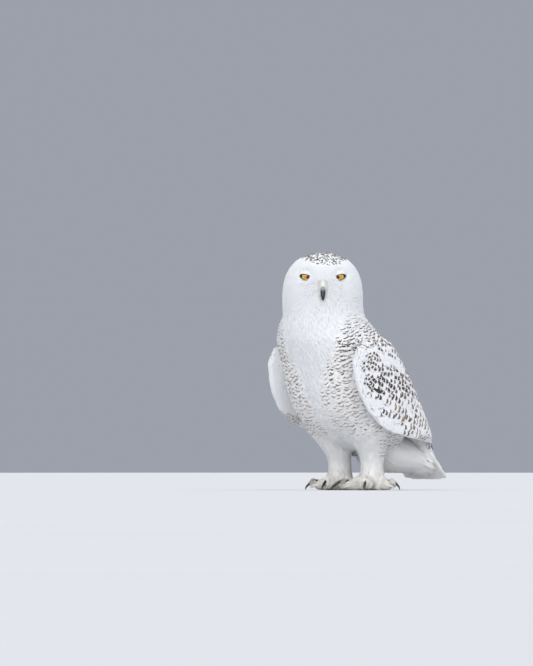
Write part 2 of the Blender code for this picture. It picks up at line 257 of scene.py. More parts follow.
def new_finish(name):
    """A new material and its node tree."""
    material = bpy.data.materials.new(name)
    material.use_nodes = True
    return material, material.node_tree


def finished(material, looks, height, strength, distance):
    """Fills the material's shader, and bumps it by a height."""
    bump = {"Strength": strength, "Distance": distance, "Height": height}
    normal = value_of(material.node_tree, "ShaderNodeBump", bump)
    fill(material.node_tree.nodes["Principled BSDF"], {**looks, "Normal": normal})
    return material


# Finishes

DARK_BARS = (0.050, 0.032, 0.024, 1)
PALE_BARS = (0.300, 0.215, 0.155, 1)
PALE_SHAFT = (0.90, 0.90, 0.88, 1)
WHITE, SHADOW, GREY = (0.83, 0.84, 0.85, 1), (0.77, 0.78, 0.80, 1), (0.76, 0.77, 0.79, 1)
PUPIL, IRIS_RIM, ROUND_IRIS = (0.002, 0.002, 0.002, 1), (0.03, 0.015, 0.006, 1), (0.012, 0.01, 0.01, 1)
GOLD, DEEP_GOLD, PALE_GOLD = (0.66, 0.36, 0.035, 1), (0.42, 0.19, 0.015, 1), (0.72, 0.44, 0.07, 1)
BARE_LID, LID_DOWN = (0.012, 0.011, 0.012, 1), (0.72, 0.72, 0.73, 1)
BLACK_HORN, WORN_HORN, BLUE_HORN = (0.012, 0.012, 0.014, 1), (0.07, 0.07, 0.078, 1), (0.27, 0.30, 0.35, 1)


def plumage_finish(name, white, stain, fuzz, bars=(0.87, 0.55), thick=0.042, shift=0.06, single=0.0):
    """Feathers: white with dark bars or spots as each one's own marks say, fine barbs and a paler shaft.

    single is the share of them that has no second bar.
    """
    material, tree = new_finish(name)
    along, across = carried(tree, "along"), carried(tree, "across")
    mark, spot, tone = carried(tree, "mark"), carried(tree, "spot"), carried(tree, "tone")
    ragged, odd = noise(tree, 300.0, 2.0), tone - 0.5
    # Bars bow with the feather's round end and lean a little. A spot is a bar that stops short of the edges.
    bow = along + across * across * 0.14 + odd * across * 0.26 + odd * shift + (ragged - 0.5) * 0.13
    outer = abs(bow - bars[0])
    inner = abs(bow - bars[1]) + (single - tone).maths("MAXIMUM", 0.0)
    near = outer.maths("MINIMUM", inner + 0.01)
    bar = 1.0 - step(near - (spot * 0.060 + mark * 0.018 + thick), -0.022, 0.022)
    in_middle = 1.0 - step(abs(odd * 0.7 + across) + spot * 0.22, 0.62, 0.86)
    mask = bar * in_middle * step(mark, 0.06, 0.34)
    dark = blend(step(mark, 0.30, 0.95), PALE_BARS, DARK_BARS)
    pale = blend(noise(tree, 45.0) * 0.6 + tone * 0.5, white, stain)
    shaft = 1.0 - step(abs(across), 0.015, 0.06)
    pale = blend(shaft * 0.25, pale, PALE_SHAFT)
    barbs = ((abs(across) * -0.35 + along) * 150.0).maths("SINE")
    looks = {
        "Base Color": blend(mask, pale, dark),
        "Roughness": ragged * 0.12 + 0.80,
        "Sheen Weight": fuzz,
        "Sheen Roughness": 0.6,
        "Specular IOR Level": 0.15,
    }
    return finished(material, looks, noise(tree, 700.0) * 0.6 + barbs * 0.25, 0.4, 0.0003)


def skin_finish(name, white):
    """The down under the feathers, mottled where the feathers over it are barred."""
    material, tree = new_finish(name)
    mottle = step(noise(tree, 120.0), 0.48, 0.62) * carried(tree, "mark")
    looks = {"Base Color": blend(mottle, white, PALE_BARS), "Roughness": 0.95, "Sheen Weight": 0.3}
    return finished(material, looks, noise(tree, 500.0, 5.0), 0.4, 0.0006)


def horn_finish(name, colour, worn, root=None):
    """Dark horn with fine growth lines, worn paler in patches, with another colour at its root."""
    material, tree = new_finish(name)
    run = carried(tree, "along")
    lines = (run * 60.0).maths("SINE")
    patches = step(noise(tree, 180.0, 4.0), 0.5, 0.72)
    whole = blend(patches, colour, worn)
    if root:
        whole = blend(step(noise(tree, 400.0) * 0.12 + run, 0.47, 0.62), root, whole)
    looks = {
        "Base Color": whole,
        "Roughness": patches * 0.25 + 0.28,
        "Coat Weight": 0.25,
        "Coat Roughness": 0.3,
    }
    return finished(material, looks, lines * 0.3 + noise(tree, 900.0), 0.25, 0.0003)


def bristle_finish(name, dark, pale):
    """Stiff hairs, paler towards their ends."""
    material, tree = new_finish(name)
    run = noise(tree, 350.0) * 0.5 + carried(tree, "along")
    looks = {"Base Color": blend(step(run, 0.25, 1.0), dark, pale), "Roughness": 0.7, "Sheen Weight": 0.2}
    return finished(material, looks, noise(tree, 900.0), 0.3, 0.0002)


def eye_finish():
    """Black pupil, golden iris with fine rays and a dark rim, under a clear wet front."""
    material, tree = new_finish("wet_eye")
    out = carried(tree, "from_pupil")
    fan = value_of(tree, "ShaderNodeCombineXYZ", {0: carried(tree, "round") * 30.0, 1: out * 3.0})
    gold = blend(noise(tree, 1.0, 4.0, fan), GOLD, DEEP_GOLD)
    gold = blend(step(out, 0.55, 0.85), gold, PALE_GOLD)
    iris = blend(step(out, 0.90, 1.0), gold, IRIS_RIM)
    whole = blend(step(out, 0.235, 0.272), PUPIL, iris)
    whole = blend(step(out, 1.0, 1.08), whole, ROUND_IRIS)
    looks = {
        "Base Color": whole,
        "Roughness": 0.12,
        "Coat Weight": 0.5,
        "Coat Roughness": 0.03,
        "Specular IOR Level": 0.3,
    }
    fill(tree.nodes["Principled BSDF"], looks)
    return material


def lid_finish():
    """Bare dark skin on the rim of the lid, grey down away from it."""
    material, tree = new_finish("lid_skin")
    grain = noise(tree, 900.0, 4.0)
    away = step(grain * 0.12 + carried(tree, "from_rim"), 0.14, 0.30)
    looks = {"Base Color": blend(away, BARE_LID, LID_DOWN), "Roughness": 0.55}
    return finished(material, looks, grain, 0.5, 0.0004)


# The owl's surface

COARSENESS = 2.8 * MM
SMOOTHING = 5, 0.12  # rounds, and how far each point is held to its own place
FAR = 100 * MM
THIN_SHARE = 0.33  # the coat's greatest depth, as a share of what it grows on


def merged(names):
    """The flesh solids as one closed surface that bridges the thin cuts between them."""
    bm = bmesh.new()
    for name in names:
        bm.from_mesh(solids[name].data)
    bmesh.ops.remove_doubles(bm, verts=bm.verts, dist=0.001 * MM)
    rough = linked("flesh", mesh_of(bm, "flesh"))
    remesh = rough.modifiers.new("one_surface", "REMESH")
    remesh.mode = "VOXEL"
    remesh.voxel_size = COARSENESS
    return evaluated(rough)


def evened(values, ends, rounds, hold=0.0):
    """Values of the points, each drawn towards the mean of its neighbours a number of times."""
    values = np.asarray(values, float)
    flat = values.reshape(len(values), -1)
    start = flat
    count = np.bincount(ends.ravel(), minlength=len(flat))[:, None]
    for _ in range(rounds):
        total = np.zeros_like(flat)
        for column in range(flat.shape[1]):
            total[:, column] += np.bincount(ends[:, 0], flat[ends[:, 1], column], len(flat))
            total[:, column] += np.bincount(ends[:, 1], flat[ends[:, 0], column], len(flat))
        flat = (total / np.maximum(count, 1)) * (1 - hold) + start * hold
    return flat.reshape(values.shape)


# Coat by part: depth, spacing, length, half width
COAT = {
    "head": (3.6, 3.2, 14, 2.7),
    "neck": (4.8, 3.9, 22, 3.7),
    "trunk": (5.5, 5.7, 27, 7.2),
    "thigh": (4.6, 5.2, 24, 5.8),
    "leg": (3.2, 3.1, 17, 2.2),
    "foot": (2.8, 2.9, 16, 1.7),
    "toe": (2.6, 2.7, 14, 1.6),
    "undertail": (4.4, 4.8, 34, 4.8),
    "tail": (1.6, 6.5, 30, 6),
    "coverts": (3.2, 4.3, 17, 3.8),
    "secondaries": (2.4, 5.0, 21, 4.6),
    "primaries": (1.6, 5.4, 23, 4.8),
}
WHITE_COAT = (5.2, 3.9, 25, 3.6)  # on the trunk and thighs where nothing is barred
FACE_COAT = (1.6, 2.1, 9.0, 1.25)  # between the eyes and round them


def kind_of(name):
    words = name.split("_")
    return words[2] if words[0] == "wing" else words[0]


def on_wing(parts, side):
    return np.array([name.startswith(f"wing_{side}") for name in parts])


class Surface:
    """The owl's outline as one smooth surface, with what the coat is like at each of its points."""

    def __init__(self):
        self.mesh = merged(FLESH)
        self.ends = read(self.mesh.edges, "vertices", 2, np.int32)
        self.points = evened(points_of(self.mesh), self.ends, *SMOOTHING)
        self.points[:, 2] = np.maximum(self.points[:, 2], 0.0)
        set_points(self.mesh, self.points)
        self.mesh.update()
        normals = read(self.mesh.vertex_normals, "vector", 3).astype(float)
        self.rise = unit(evened(normals, self.ends, 2))
        self.find_parts()
        self.find_coat()
        self.unwrap()

    def find_parts(self):
        """Which solid each point belongs to, as the nearest one."""
        owners, verts, faces = [], [], []
        for name in FLESH:
            mesh = solids[name].data
            base = len(verts)
            verts += [v.co.copy() for v in mesh.vertices]
            for face in mesh.polygons:
                faces.append([base + i for i in face.vertices])
                owners.append(name)
        tree = BVHTree.FromPolygons(verts, faces)
        self.part = np.array([owners[tree.find_nearest(Vector(p))[2]] for p in self.points])
        self.kind = np.array([kind_of(name) for name in self.part])

    def find_coat(self):
        """How deep, dense, long and broad the feathers are at each point, and which way they lie."""
        p = self.points
        table = np.array([COAT[kind] for kind in self.kind])
        self.mark, _ = markings(p, self.part)
        plain = 1 - ramp(evened(self.mark, self.ends, 3), 0.02, 0.20)
        plain *= np.isin(self.kind, ("trunk", "thigh"))
        table = table * (1 - plain[:, None]) + np.array(WHITE_COAT) * plain[:, None]
        table = evened(table * MM, self.ends, 8)
        reach = np.linalg.norm(p - face_point(0, 14, -14), axis=1)
        facing = np.clip(((p - HEAD_AXIS) @ FACE_AHEAD) / (40 * MM), 0, 1)
        in_face = np.clip(1.45 - reach / (56 * MM), 0, 1) * facing * (self.kind == "head")
        self.face = evened(in_face, self.ends, 6)
        for side in SIDES:
            near = np.clip(1.6 - np.linalg.norm(p - EYES[side], axis=1) / (22 * MM), 0, 1)
            self.face = np.maximum(self.face, near)
        table = table * (1 - self.face[:, None]) + np.outer(self.face, FACE_COAT) * MM
        self.depth, self.spacing, self.length, self.half_wide = table.T
        self.depth = evened(np.minimum(self.depth, THIN_SHARE * self.thickness()), self.ends, 3)
        self.lie = self.flow()

    def thickness(self):
        """How thick the owl is under each point, straight in from the surface."""
        tree = BVHTree.FromPolygons(self.points.tolist(), [tuple(f.vertices) for f in self.mesh.polygons])
        out = np.full(len(self.points), FAR)
        for i, (p, n) in enumerate(zip(self.points, self.rise)):
            found = tree.ray_cast(Vector(p - n * 0.3 * MM), Vector(-n), FAR)
            if found[0] is not None:
                out[i] = found[3]
        return out

    def flow(self):
        """The way that the feathers lie at each point."""
        p, kind = self.points, self.kind
        lie = np.tile((0.0, 0.35, -1.0), (len(p), 1))
        head = (kind == "head") | (kind == "neck")
        away = unit(p - BILL_ROOT)
        behind = np.clip(-((p - HEAD_AXIS) @ FACE_AHEAD) / (60 * MM) + 0.15, 0, 1)
        low = np.clip((CHIN + 20 * MM - p[:, 2]) / (50 * MM), 0, 1)
        head_lie = away + np.outer(behind * 1.1 + low * 1.6, (0, 0, -1))
        for side in SIDES:
            out = p - EYES[side]
            share = np.exp(-((np.linalg.norm(out, axis=1) / (24 * MM)) ** 2))
            head_lie += unit(out) * share[:, None] * 2.2
        lie[head] = head_lie[head]
        lie[kind == "undertail"] = (0, 1.0, -0.35)
        lie[kind == "tail"] = (0, 0.6, -0.8)
        lie[kind == "leg"] = (0, 0, -1)
        for side in SIDES:
            wing = on_wing(self.part, side)
            lie[wing] = wing_lie(p[wing], side)
            foot = self.part == f"foot_{side}"
            lie[foot] = unit(p[foot] - FEET[side]) + (0, 0, -0.4)
            for toe in TOES:
                name = f"toe_{side}_{toe}"
                lie[self.part == name] = toe_ways(name, side)[0] + (0, 0, -0.25)
        return square_to(evened(unit(lie), self.ends, 6), self.rise)

    def unwrap(self):
        """Lays the surface out flat, as the ground for every map of the coat."""
        ground = linked("ground", self.mesh)
        bpy.context.view_layer.objects.active = ground
        ground.select_set(True)
        self.mesh.uv_layers.new(name="OFBake")
        bpy.ops.object.mode_set(mode="EDIT")
        bpy.ops.mesh.select_all(action="SELECT")
        bpy.ops.uv.smart_project(angle_limit=math.radians(66), island_margin=0.002)
        bpy.ops.object.mode_set(mode="OBJECT")
        bpy.data.objects.remove(ground)
        self.mesh.calc_loop_triangles()
        triangles = self.mesh.loop_triangles
        self.triangles = read(triangles, "vertices", 3, np.int32)
        flat = read(self.mesh.uv_layers["OFBake"].data, "uv", 2)
        self.flat = flat[read(triangles, "loops", 3, np.int32)]
        a, b, c = (self.points[self.triangles[:, i]] for i in range(3))
        self.area = np.linalg.norm(np.cross(b - a, c - a), axis=1) / 2
        self.tree = BVHTree.FromPolygons(self.points.tolist(), self.triangles.tolist())

    def on_face(self, side, up):
        """A place on the face, in millimetres to the left of and above the middle between the eyes."""
        found = self.tree.ray_cast(Vector(face_point(side, 70, up)), Vector(-FACE_AHEAD), FAR)
        return np.array(found[0])


def wing_lie(place, side):
    """Towards the wing's tip low down, more to the rear high up, and down along its front edge."""
    tip = WING_TIPS[side]
    high = ramp(place[:, 2] / MM, 165, 255)[:, None]
    low_way = unit(tip + (0, 0.10, -0.07) - place)
    high_way = unit(tip + (0, 0.33, 0.01) - place)
    behind = place[:, 1] / MM - wing_front(side, place[:, 2] / MM)
    near = 0.75 * (1 - ramp(behind, 12, 62))[:, None] * high
    return unit((low_way * (1 - high) + high_way * high) * (1 - near) + np.array((0, 0.2, -1.0)) * near)


# Where feathers grow

TRIES = 9  # places tried for each that the spacing leaves room for
CROWDING = 0.86  # the least distance between two roots, as a share of the spacing


def near_tree(places):
    tree = KDTree(len(places))
    for i, place in enumerate(places):
        tree.insert(place, i)
    tree.balance()
    return tree


def scatter(surface, rng):
    """Random roots over the whole surface, none nearer to another than the spacing there."""
    spacing = surface.spacing[surface.triangles].mean(axis=1)
    want = surface.area / spacing**2 * TRIES
    count = int(want.sum())
    pick = rng.choice(len(want), count, p=want / want.sum())
    share = rng.random((count, 2))
    flip = share.sum(axis=1) > 1
    share[flip] = 1 - share[flip]
    weights = np.column_stack([1 - share.sum(axis=1), share])
    places = np.einsum("ij,ijk->ik", weights, surface.points[surface.triangles[pick]])
    reach = spacing[pick] * CROWDING
    tree = near_tree(places)
    keep = np.ones(count, bool)
    for i in range(count):
        if keep[i]:
            for _, j, _ in tree.find_range(places[i], reach[i]):
                if j > i:
                    keep[j] = False
    return Roots(surface, pick[keep], weights[keep])


def rooted(surface, places):
    """Roots at the surface's nearest point to each place."""
    pick, weights = [], []
    for place in places:
        found = surface.tree.find_nearest(Vector(place))
        a, b, c = surface.points[surface.triangles[found[2]]]
        parts = [np.linalg.norm(np.cross(q - found[0], r - found[0])) for q, r in ((b, c), (c, a), (a, b))]
        pick.append(found[2])
        weights.append(np.array(parts) / sum(parts))
    return Roots(surface, np.array(pick), np.array(weights))


def sparse(places, reach, rng):
    """A random choice of the places with none nearer to another than a reach."""
    tree = near_tree(places)
    reach = np.broadcast_to(reach, len(places))
    keep = np.ones(len(places), bool)
    done = np.zeros(len(places), bool)
    for i in rng.permutation(len(places)):
        if keep[i]:
            done[i] = True
            for _, j, _ in tree.find_range(places[i], reach[i]):
                keep[j] = keep[j] and done[j]
    return keep


class Roots:
    """Places on the surface, with what the coat is like at each."""

    def __init__(self, surface, pick, weights):
        ends = surface.triangles[pick]
        self.nearest = ends[np.arange(len(ends)), weights.argmax(axis=1)]

        def at(values):
            if values.ndim == 1:
                return np.einsum("ij,ij->i", weights, values[ends])
            return np.einsum("ij,ijk->ik", weights, values[ends])

        self.place = at(surface.points)
        self.rise = unit(at(surface.rise))
        self.lie = unit(at(surface.lie))
        self.depth, self.face = at(surface.depth), at(surface.face)
        self.length, self.half_wide = at(surface.length), at(surface.half_wide)
        self.flat = np.einsum("ij,ijk->ik", weights, surface.flat[pick])
        self.part, self.kind = surface.part[self.nearest], surface.kind[self.nearest]
        self.mark, self.spot, self.proud = np.zeros((3, len(pick)))

    def chosen(self, mask):
        some = Roots.__new__(Roots)
        for key, value in self.__dict__.items():
            setattr(some, key, value[mask])
        return some


# Markings

# The bib's white and the stripe that it runs down into: height, side of its middle, half width
BIB = [
    (150, 12, 0),
    (171, 15, 5),
    (197, 12, 18),
    (227, 17, 26),
    (246, 18, 31),
    (261, 19, 42),
    (283, 23, 58),
    (318, 24, 62),
    (365, 20, 62),
]
# The clean band between the wing's spots and those of the back, as Y and height
WING_GAP = [(-122, 330), (-70, 276), (-5, 252)]
LEADING_BAND = {"left": 14, "right": 24}  # how broad the clean band at each wing's front is
BACK_MARKS, CROWN_SPOTS = (0.74, 0.55), 0.45


def front_edge(side):
    """The wing's front edge, as heights and Y."""
    points = np.vstack([points_of(solids[f"wing_{side}_{group}"].data) for group in WINGS]) / MM
    heights = np.arange(points[:, 2].min() + 4, points[:, 2].max() - 4, 8)
    return heights, [points[np.abs(points[:, 2] - h) < 14, 1].min() for h in heights]


FRONT_EDGES = {side: front_edge(side) for side in SIDES}


def wing_front(side, z):
    return np.interp(z, *FRONT_EDGES[side])


def distance_to(line, y, z):
    """Distance of each place to a bent line, and its side, more than 0 where that is up and to the rear."""
    best, way = np.full(len(y), 1e9), np.zeros(len(y))
    for (ya, za), (yb, zb) in zip(line, line[1:]):
        dy, dz = yb - ya, zb - za
        t = np.clip(((y - ya) * dy + (z - za) * dz) / (dy * dy + dz * dz), 0, 1)
        far = np.hypot(y - ya - t * dy, z - za - t * dz)
        nearer = far < best
        best = np.where(nearer, far, best)
        way = np.where(nearer, np.sign((y - ya) * -dz + (z - za) * dy), way)
    return best, way


def breast_marks(x, y, z):
    """Bars on breast and belly beside the bib, darkest on the left shoulder, and some on the flanks."""
    heights, middles, half_widths = np.array(BIB).T
    off = x - np.interp(z, heights, middles)
    beside = np.abs(off) - np.interp(z, heights, half_widths)
    left = ramp(off, -5, 25)
    clear = ramp(beside, -2, 13) * (1 - 0.5 * (1 - ramp(beside, 6, 40)) * (1 - ramp(z, 130, 215)))
    top = 1 - ramp(z, 336 + 22 * left, 350 + 24 * left)
    low = ramp(z, 98, 128)
    dark = 0.40 + 0.18 * ramp(z, 160, 250) + (1 - left) * 0.22 * ramp(z, 255, 300)
    dark += left * (0.16 * ramp(z, 190, 260) + 0.52 * ramp(z, 268, 300))
    flank = ramp(np.abs(x), 50, 78) * ramp(y, -45, -15) * ramp(z, 52, 72) * 0.62
    return np.maximum(clear * top * low * dark, flank * (1 - low))


def crown_marks(place):
    """Small dark spots over the brow, a little to the left, and fewer down the nape and the collar."""
    ahead, left = ((place - HEAD_AXIS) @ way / MM for way in (FACE_AHEAD, FACE_LEFT))
    z = place[:, 2] / MM
    brow = CROWN / MM - 30 + 0.007 * (left - 7) ** 2
    crown = 1.7 * ramp(z, brow, brow + 5) * (1 - 0.5 * ramp(-ahead, 10, 60))
    return np.maximum(crown, 0.42 * ramp(-ahead, 6, 46) * ramp(z, 350, 420))


def wing_marks(side, y, z):
    """A clean leading band and gap, spots above, bars lower down and a dark blotch near the band."""
    gap, above = distance_to(WING_GAP, y, z)
    start = LEADING_BAND[side]
    band = ramp(y - wing_front(side, z), start, start + 7) * ramp(gap, 6, 10)
    upper = ramp(z, 178, 200)
    blotch = np.exp(-(((y + 90) / 16) ** 2) - ((z - 205) / 24) ** 2)
    strength = 0.68 + 0.22 * upper + 6.0 * blotch - 0.15 * (above > 0)
    return band * strength * ramp(z, 78, 104), 0.9 * upper * (1 - blotch) + 0.35 * (1 - upper)


def markings(place, part):
    """How strongly each place is marked, and how far its marks are spots and not bars."""
    x, y, z = (place / MM).T
    kind = np.array([kind_of(name) for name in part])
    mark, spot = np.zeros((2, len(x)))
    body = np.isin(kind, ("trunk", "thigh", "neck"))
    mark[body] = breast_marks(x, y, z)[body]
    back = body & (y > -78 + 0.25 * np.abs(z - 250)) & (z > 130) & (z < 352)
    mark[back], spot[back] = BACK_MARKS
    head = np.isin(kind, ("head", "neck"))
    mark[head] = np.maximum(crown_marks(place), mark)[head]
    spot[head & (z > 400)] = CROWN_SPOTS
    for side in SIDES:
        wing = on_wing(part, side)
        mark[wing], spot[wing] = (values[wing] for values in wing_marks(side, y, z))
    return mark, spot


# Feathers

CUP = 0.09  # how far a feather's sides hang under its shaft, as a share of the coat's depth


def feather_shape(name, columns, rows, fray, narrow, roundness=2.4, flush=0.85):
    """One feather along +Y, 1 long and 1 to each side, whose end is split into points between its columns.

    narrow is its half width at the root. Its lift is 0 at the root, flush at its middle and 1 at the tip.
    """
    bm = bmesh.new()
    data = {key: bm.verts.layers.float.new(key) for key in ("along", "across", "lift")}

    def outline(t):
        return narrow + (1 - narrow) * math.sin(min(t / 0.62, 1.0) * math.pi / 2)

    def add(across, t, side):
        end = 1 - 0.42 * abs(across) ** roundness
        y = t * end
        x = side * outline(y) * (1 - 0.25 * max(y - 0.7, 0) / 0.3)
        vert = bm.verts.new((x, y, 0))
        vert[data["along"]] = y
        vert[data["across"]] = across
        rise = flush * math.sin(min(y / 0.5, 1.0) * math.pi / 2) + (1 - flush) * max(y - 0.5, 0) / 0.5
        vert[data["lift"]] = rise - CUP * across * across
        return vert

    sides = [2 * i / columns - 1 for i in range(columns + 1)]
    split = 1 - fray
    grid = [[add(s, split * r / rows, s) for s in sides] for r in range(rows + 1)]
    for low, high in zip(grid, grid[1:]):
        for i in range(columns):
            bm.faces.new((low[i], low[i + 1], high[i + 1], high[i]))
    for i in range(columns):
        a, b = sides[i], sides[i + 1]
        mid = (a + b) / 2
        left = add(a, split + fray * 0.55, a * 0.8 + mid * 0.2)
        right = add(b, split + fray * 0.55, b * 0.8 + mid * 0.2)
        tip = add(mid, 1 + fray * 0.25 * math.sin(5 * i + 1), mid * 1.02)
        bm.faces.new((grid[-1][i], grid[-1][i + 1], right, left))
        bm.faces.new((left, right, tip))
    return bpy.data.objects.new(name, mesh_of(bm, name))


# What the coat's tree is given, with the usual values
GIVEN = (
    ("Roots", "Geometry", None),
    ("Feather", "Object", None),
    ("Outline", "Object", None),
    ("Finish", "Material", None),
    ("Ruffle", "Float", 0.0006),
    ("Length Change", "Float", 0.12),
    ("Turn", "Float", 0.16),
    ("Patch", "Float", 0.003),
    ("Follow", "Float", 1.0),
    ("Seed", "Int", 1),
)


def named(tree, name, kind="FLOAT"):
    return value_of(tree, "GeometryNodeInputNamedAttribute", {"Name": name}, data_type=kind)


def stored(tree, geometry, name, value, kind="FLOAT", domain="POINT"):
    parts = {"Geometry": geometry, "Name": name, "Value": value}
    return value_of(tree, "GeometryNodeStoreNamedAttribute", parts, data_type=kind, domain=domain)


def shape_of(tree, chosen):
    source = {"Object": chosen}
    return value_of(tree, "GeometryNodeObjectInfo", source, "Geometry", transform_space="ORIGINAL")


def chance(tree, seed, low, high):
    draw = {2: low, 3: high, "Seed": seed}
    return value_of(tree, "FunctionNodeRandomValue", draw, output=1, data_type="FLOAT")


def combined(tree, operation, inputs):
    return value_of(tree, "ShaderNodeVectorMath", inputs, operation=operation)


def plant(tree, given):
    """A feather on each root, of its own size and turn."""
    change, turn = (
        chance(tree, given["Seed"] + salt, given[name] * -1.0, given[name])
        for salt, name in ((1.0, "Length Change"), (2.0, "Turn"))
    )
    size = {0: named(tree, "half_wide"), 1: named(tree, "length") * (change + 1.0), 2: 1.0}
    rise = named(tree, "rise", "FLOAT_VECTOR")
    turning = {"Vector": named(tree, "lie", "FLOAT_VECTOR"), "Axis": rise, "Angle": turn}
    axes = {"Primary Axis": rise, "Secondary Axis": value_of(tree, "ShaderNodeVectorRotate", turning)}
    roots = stored(tree, given["Roots"], "ruffle", chance(tree, given["Seed"] + 3.0, 0.0, given["Ruffle"]))
    roots = stored(tree, roots, "tone", chance(tree, given["Seed"] + 4.0, 0.0, 1.0))
    planting = {
        "Points": roots,
        "Instance": shape_of(tree, given["Feather"]),
        "Rotation": value_of(tree, "FunctionNodeAxesToRotation", axes, primary_axis="Z", secondary_axis="Y"),
        "Scale": value_of(tree, "ShaderNodeCombineXYZ", size),
    }
    many = value_of(tree, "GeometryNodeInstanceOnPoints", planting)
    return value_of(tree, "GeometryNodeRealizeInstances", {"Geometry": many})


def bend_to_outline(tree, given, coat):
    """Bends the feathers to the outline: under it at the root and in it at the tip."""
    here = value_of(tree, "GeometryNodeInputPosition", {})
    outline = shape_of(tree, given["Outline"])
    near, outward = (
        value_of(
            tree,
            "GeometryNodeSampleNearestSurface",
            {"Mesh": outline, "Value": value},
            data_type="FLOAT_VECTOR",
        )
        for value in (here, named(tree, "rise", "FLOAT_VECTOR"))
    )
    height = named(tree, "depth") * (named(tree, "lift") - 1.0) + named(tree, "proud")
    height += named(tree, "along") * named(tree, "ruffle")
    raised = combined(tree, "SCALE", {0: combined(tree, "NORMALIZE", {0: outward}), "Scale": height})
    share = {0: given["Follow"], 4: here, 5: combined(tree, "ADD", {0: near, 1: raised})}
    place = value_of(tree, "ShaderNodeMix", share, output=1, data_type="VECTOR")
    return value_of(tree, "GeometryNodeSetPosition", {"Geometry": coat, "Position": place})


def lay_on_map(tree, given, coat):
    """Lays each feather's small patch on the map, where its root is."""
    flat = {0: named(tree, "flat", "FLOAT_VECTOR")}
    beside, above = (value_of(tree, "ShaderNodeSeparateXYZ", flat, output=axis) for axis in (0, 1))
    beside += named(tree, "across") * 0.5 * given["Patch"]
    above += (named(tree, "along") - 0.5) * given["Patch"]
    patch = value_of(tree, "ShaderNodeCombineXYZ", {0: beside, 1: above})
    return stored(tree, coat, "OFBake", patch, "FLOAT2", "CORNER")


def coat_tree():
    """Sets a feather on each root, bends it to the owl's outline and gives it its finish."""
    tree = bpy.data.node_groups.new("lay_feathers", "GeometryNodeTree")
    for name, kind, value in GIVEN:
        socket = tree.interface.new_socket(name, in_out="INPUT", socket_type=f"NodeSocket{kind}")
        if value is not None:
            socket.default_value = value
    tree.interface.new_socket("Coat", in_out="OUTPUT", socket_type="NodeSocketGeometry")
    given = {socket.name: Value(socket) for socket in tree.nodes.new("NodeGroupInput").outputs}
    coat = lay_on_map(tree, given, bend_to_outline(tree, given, plant(tree, given)))
    coat = value_of(tree, "GeometryNodeSetMaterial", {"Geometry": coat, "Material": given["Finish"]})
    fill(tree.nodes.new("NodeGroupOutput"), {0: coat})
    return tree


ROOT_FACTS = ("rise", "lie", "length", "half_wide", "depth", "proud")
FLOOR_GAP = 0.15 * MM  # feathers that would reach the floor end this far over it


def grow(name, outline, roots, feather, tree, finish, slot, inputs):
    """One piece of the coat: a feather on every root, as a plain mesh."""
    cloud = bpy.data.meshes.new(name)
    cloud.vertices.add(len(roots.place))
    set_points(cloud, roots.place)
    for key in (*ROOT_FACTS, "mark", "spot"):
        carry(cloud, key, getattr(roots, key))
    carry(cloud, "flat", np.column_stack([roots.flat, np.zeros(len(roots.flat))]))
    holder = linked(name + "_roots", cloud)
    modifier = holder.modifiers.new("coat", "NODES")
    modifier.node_group = tree
    values = {"Feather": feather, "Outline": outline, "Finish": finish, **inputs}
    for item in tree.interface.items_tree:
        if item.name in values:
            modifier[item.identifier] = values[item.name]
    holder.update_tag()
    bpy.context.view_layer.update()
    mesh = evaluated(holder)
    for key in (*ROOT_FACTS, "flat", "lift", "ruffle"):
        layer = mesh.attributes.get(key)
        if layer is not None:
            mesh.attributes.remove(layer)
    points = points_of(mesh)
    points[:, 2] = np.maximum(points[:, 2], FLOOR_GAP)
    set_points(mesh, points)
    mesh.shade_smooth()
    mesh.calc_loop_triangles()
    print(name, len(roots.place), "feathers", len(mesh.loop_triangles), "triangles")
    return new_piece(name, mesh, slot)


# Skin


def make_skin(surface, finish):
    mesh = surface.mesh.copy()
    mesh.name = "skin"
    inward = surface.points - surface.rise * surface.depth[:, None]
    inward[:, 2] = np.maximum(inward[:, 2], 0.0)
    set_points(mesh, inward)
    carry(mesh, "mark", surface.mark)
    mesh.materials.append(finish)
    mesh.shade_smooth()
    return new_piece("skin", mesh, "plumage", *FLESH)


# Eyes

EYE_TURNS, EYE_RINGS = 64, 40
IRIS_ANGLE = math.radians(46)
BULGE, BULGE_ANGLE = 0.045, IRIS_ANGLE * 1.15
SQUINT = math.radians(5.4)  # each eye looks a little inwards


def make_eye(side, finish):
    """An eyeball whose rings run round its gaze, with a clear bulge over the iris."""
    way = OUTWARD[side]
    gaze = FACE_AHEAD * math.cos(SQUINT) - FACE_LEFT * way * math.sin(SQUINT)
    beside = FACE_LEFT * math.cos(SQUINT) + FACE_AHEAD * way * math.sin(SQUINT)
    bm = bmesh.new()
    from_pupil = bm.verts.layers.float.new("from_pupil")
    around = bm.verts.layers.float.new("round")
    rows = []
    for i in range(EYE_RINGS + 1):
        angle = math.pi * (i / EYE_RINGS) ** 1.35  # rings lie closer round the pupil
        radius = EYE_RADIUS * (1 + BULGE * max(0.0, 1 - (angle / BULGE_ANGLE) ** 2))
        row = []
        for k in range(1 if i in (0, EYE_RINGS) else EYE_TURNS):
            turn = 2 * math.pi * k / EYE_TURNS
            out = beside * math.cos(turn) + UP * math.sin(turn)
            vert = bm.verts.new(EYES[side] + (gaze * math.cos(angle) + out * math.sin(angle)) * radius)
            vert[from_pupil] = angle / IRIS_ANGLE
            vert[around] = abs(math.sin(turn / 2))
            row.append(vert)
        rows.append(row)
    for low, high in zip(rows, rows[1:]):
        for k in range(EYE_TURNS):
            a, b = low[k % len(low)], low[(k + 1) % len(low)]
            c, d = high[(k + 1) % len(high)], high[k % len(high)]
            bm.faces.new(list(dict.fromkeys((a, b, c, d))))
    return smooth_piece(bm, f"eyeball_{side}", finish, "iris", f"eye_{side}")


LID_TURNS, LID_RINGS = 80, 16
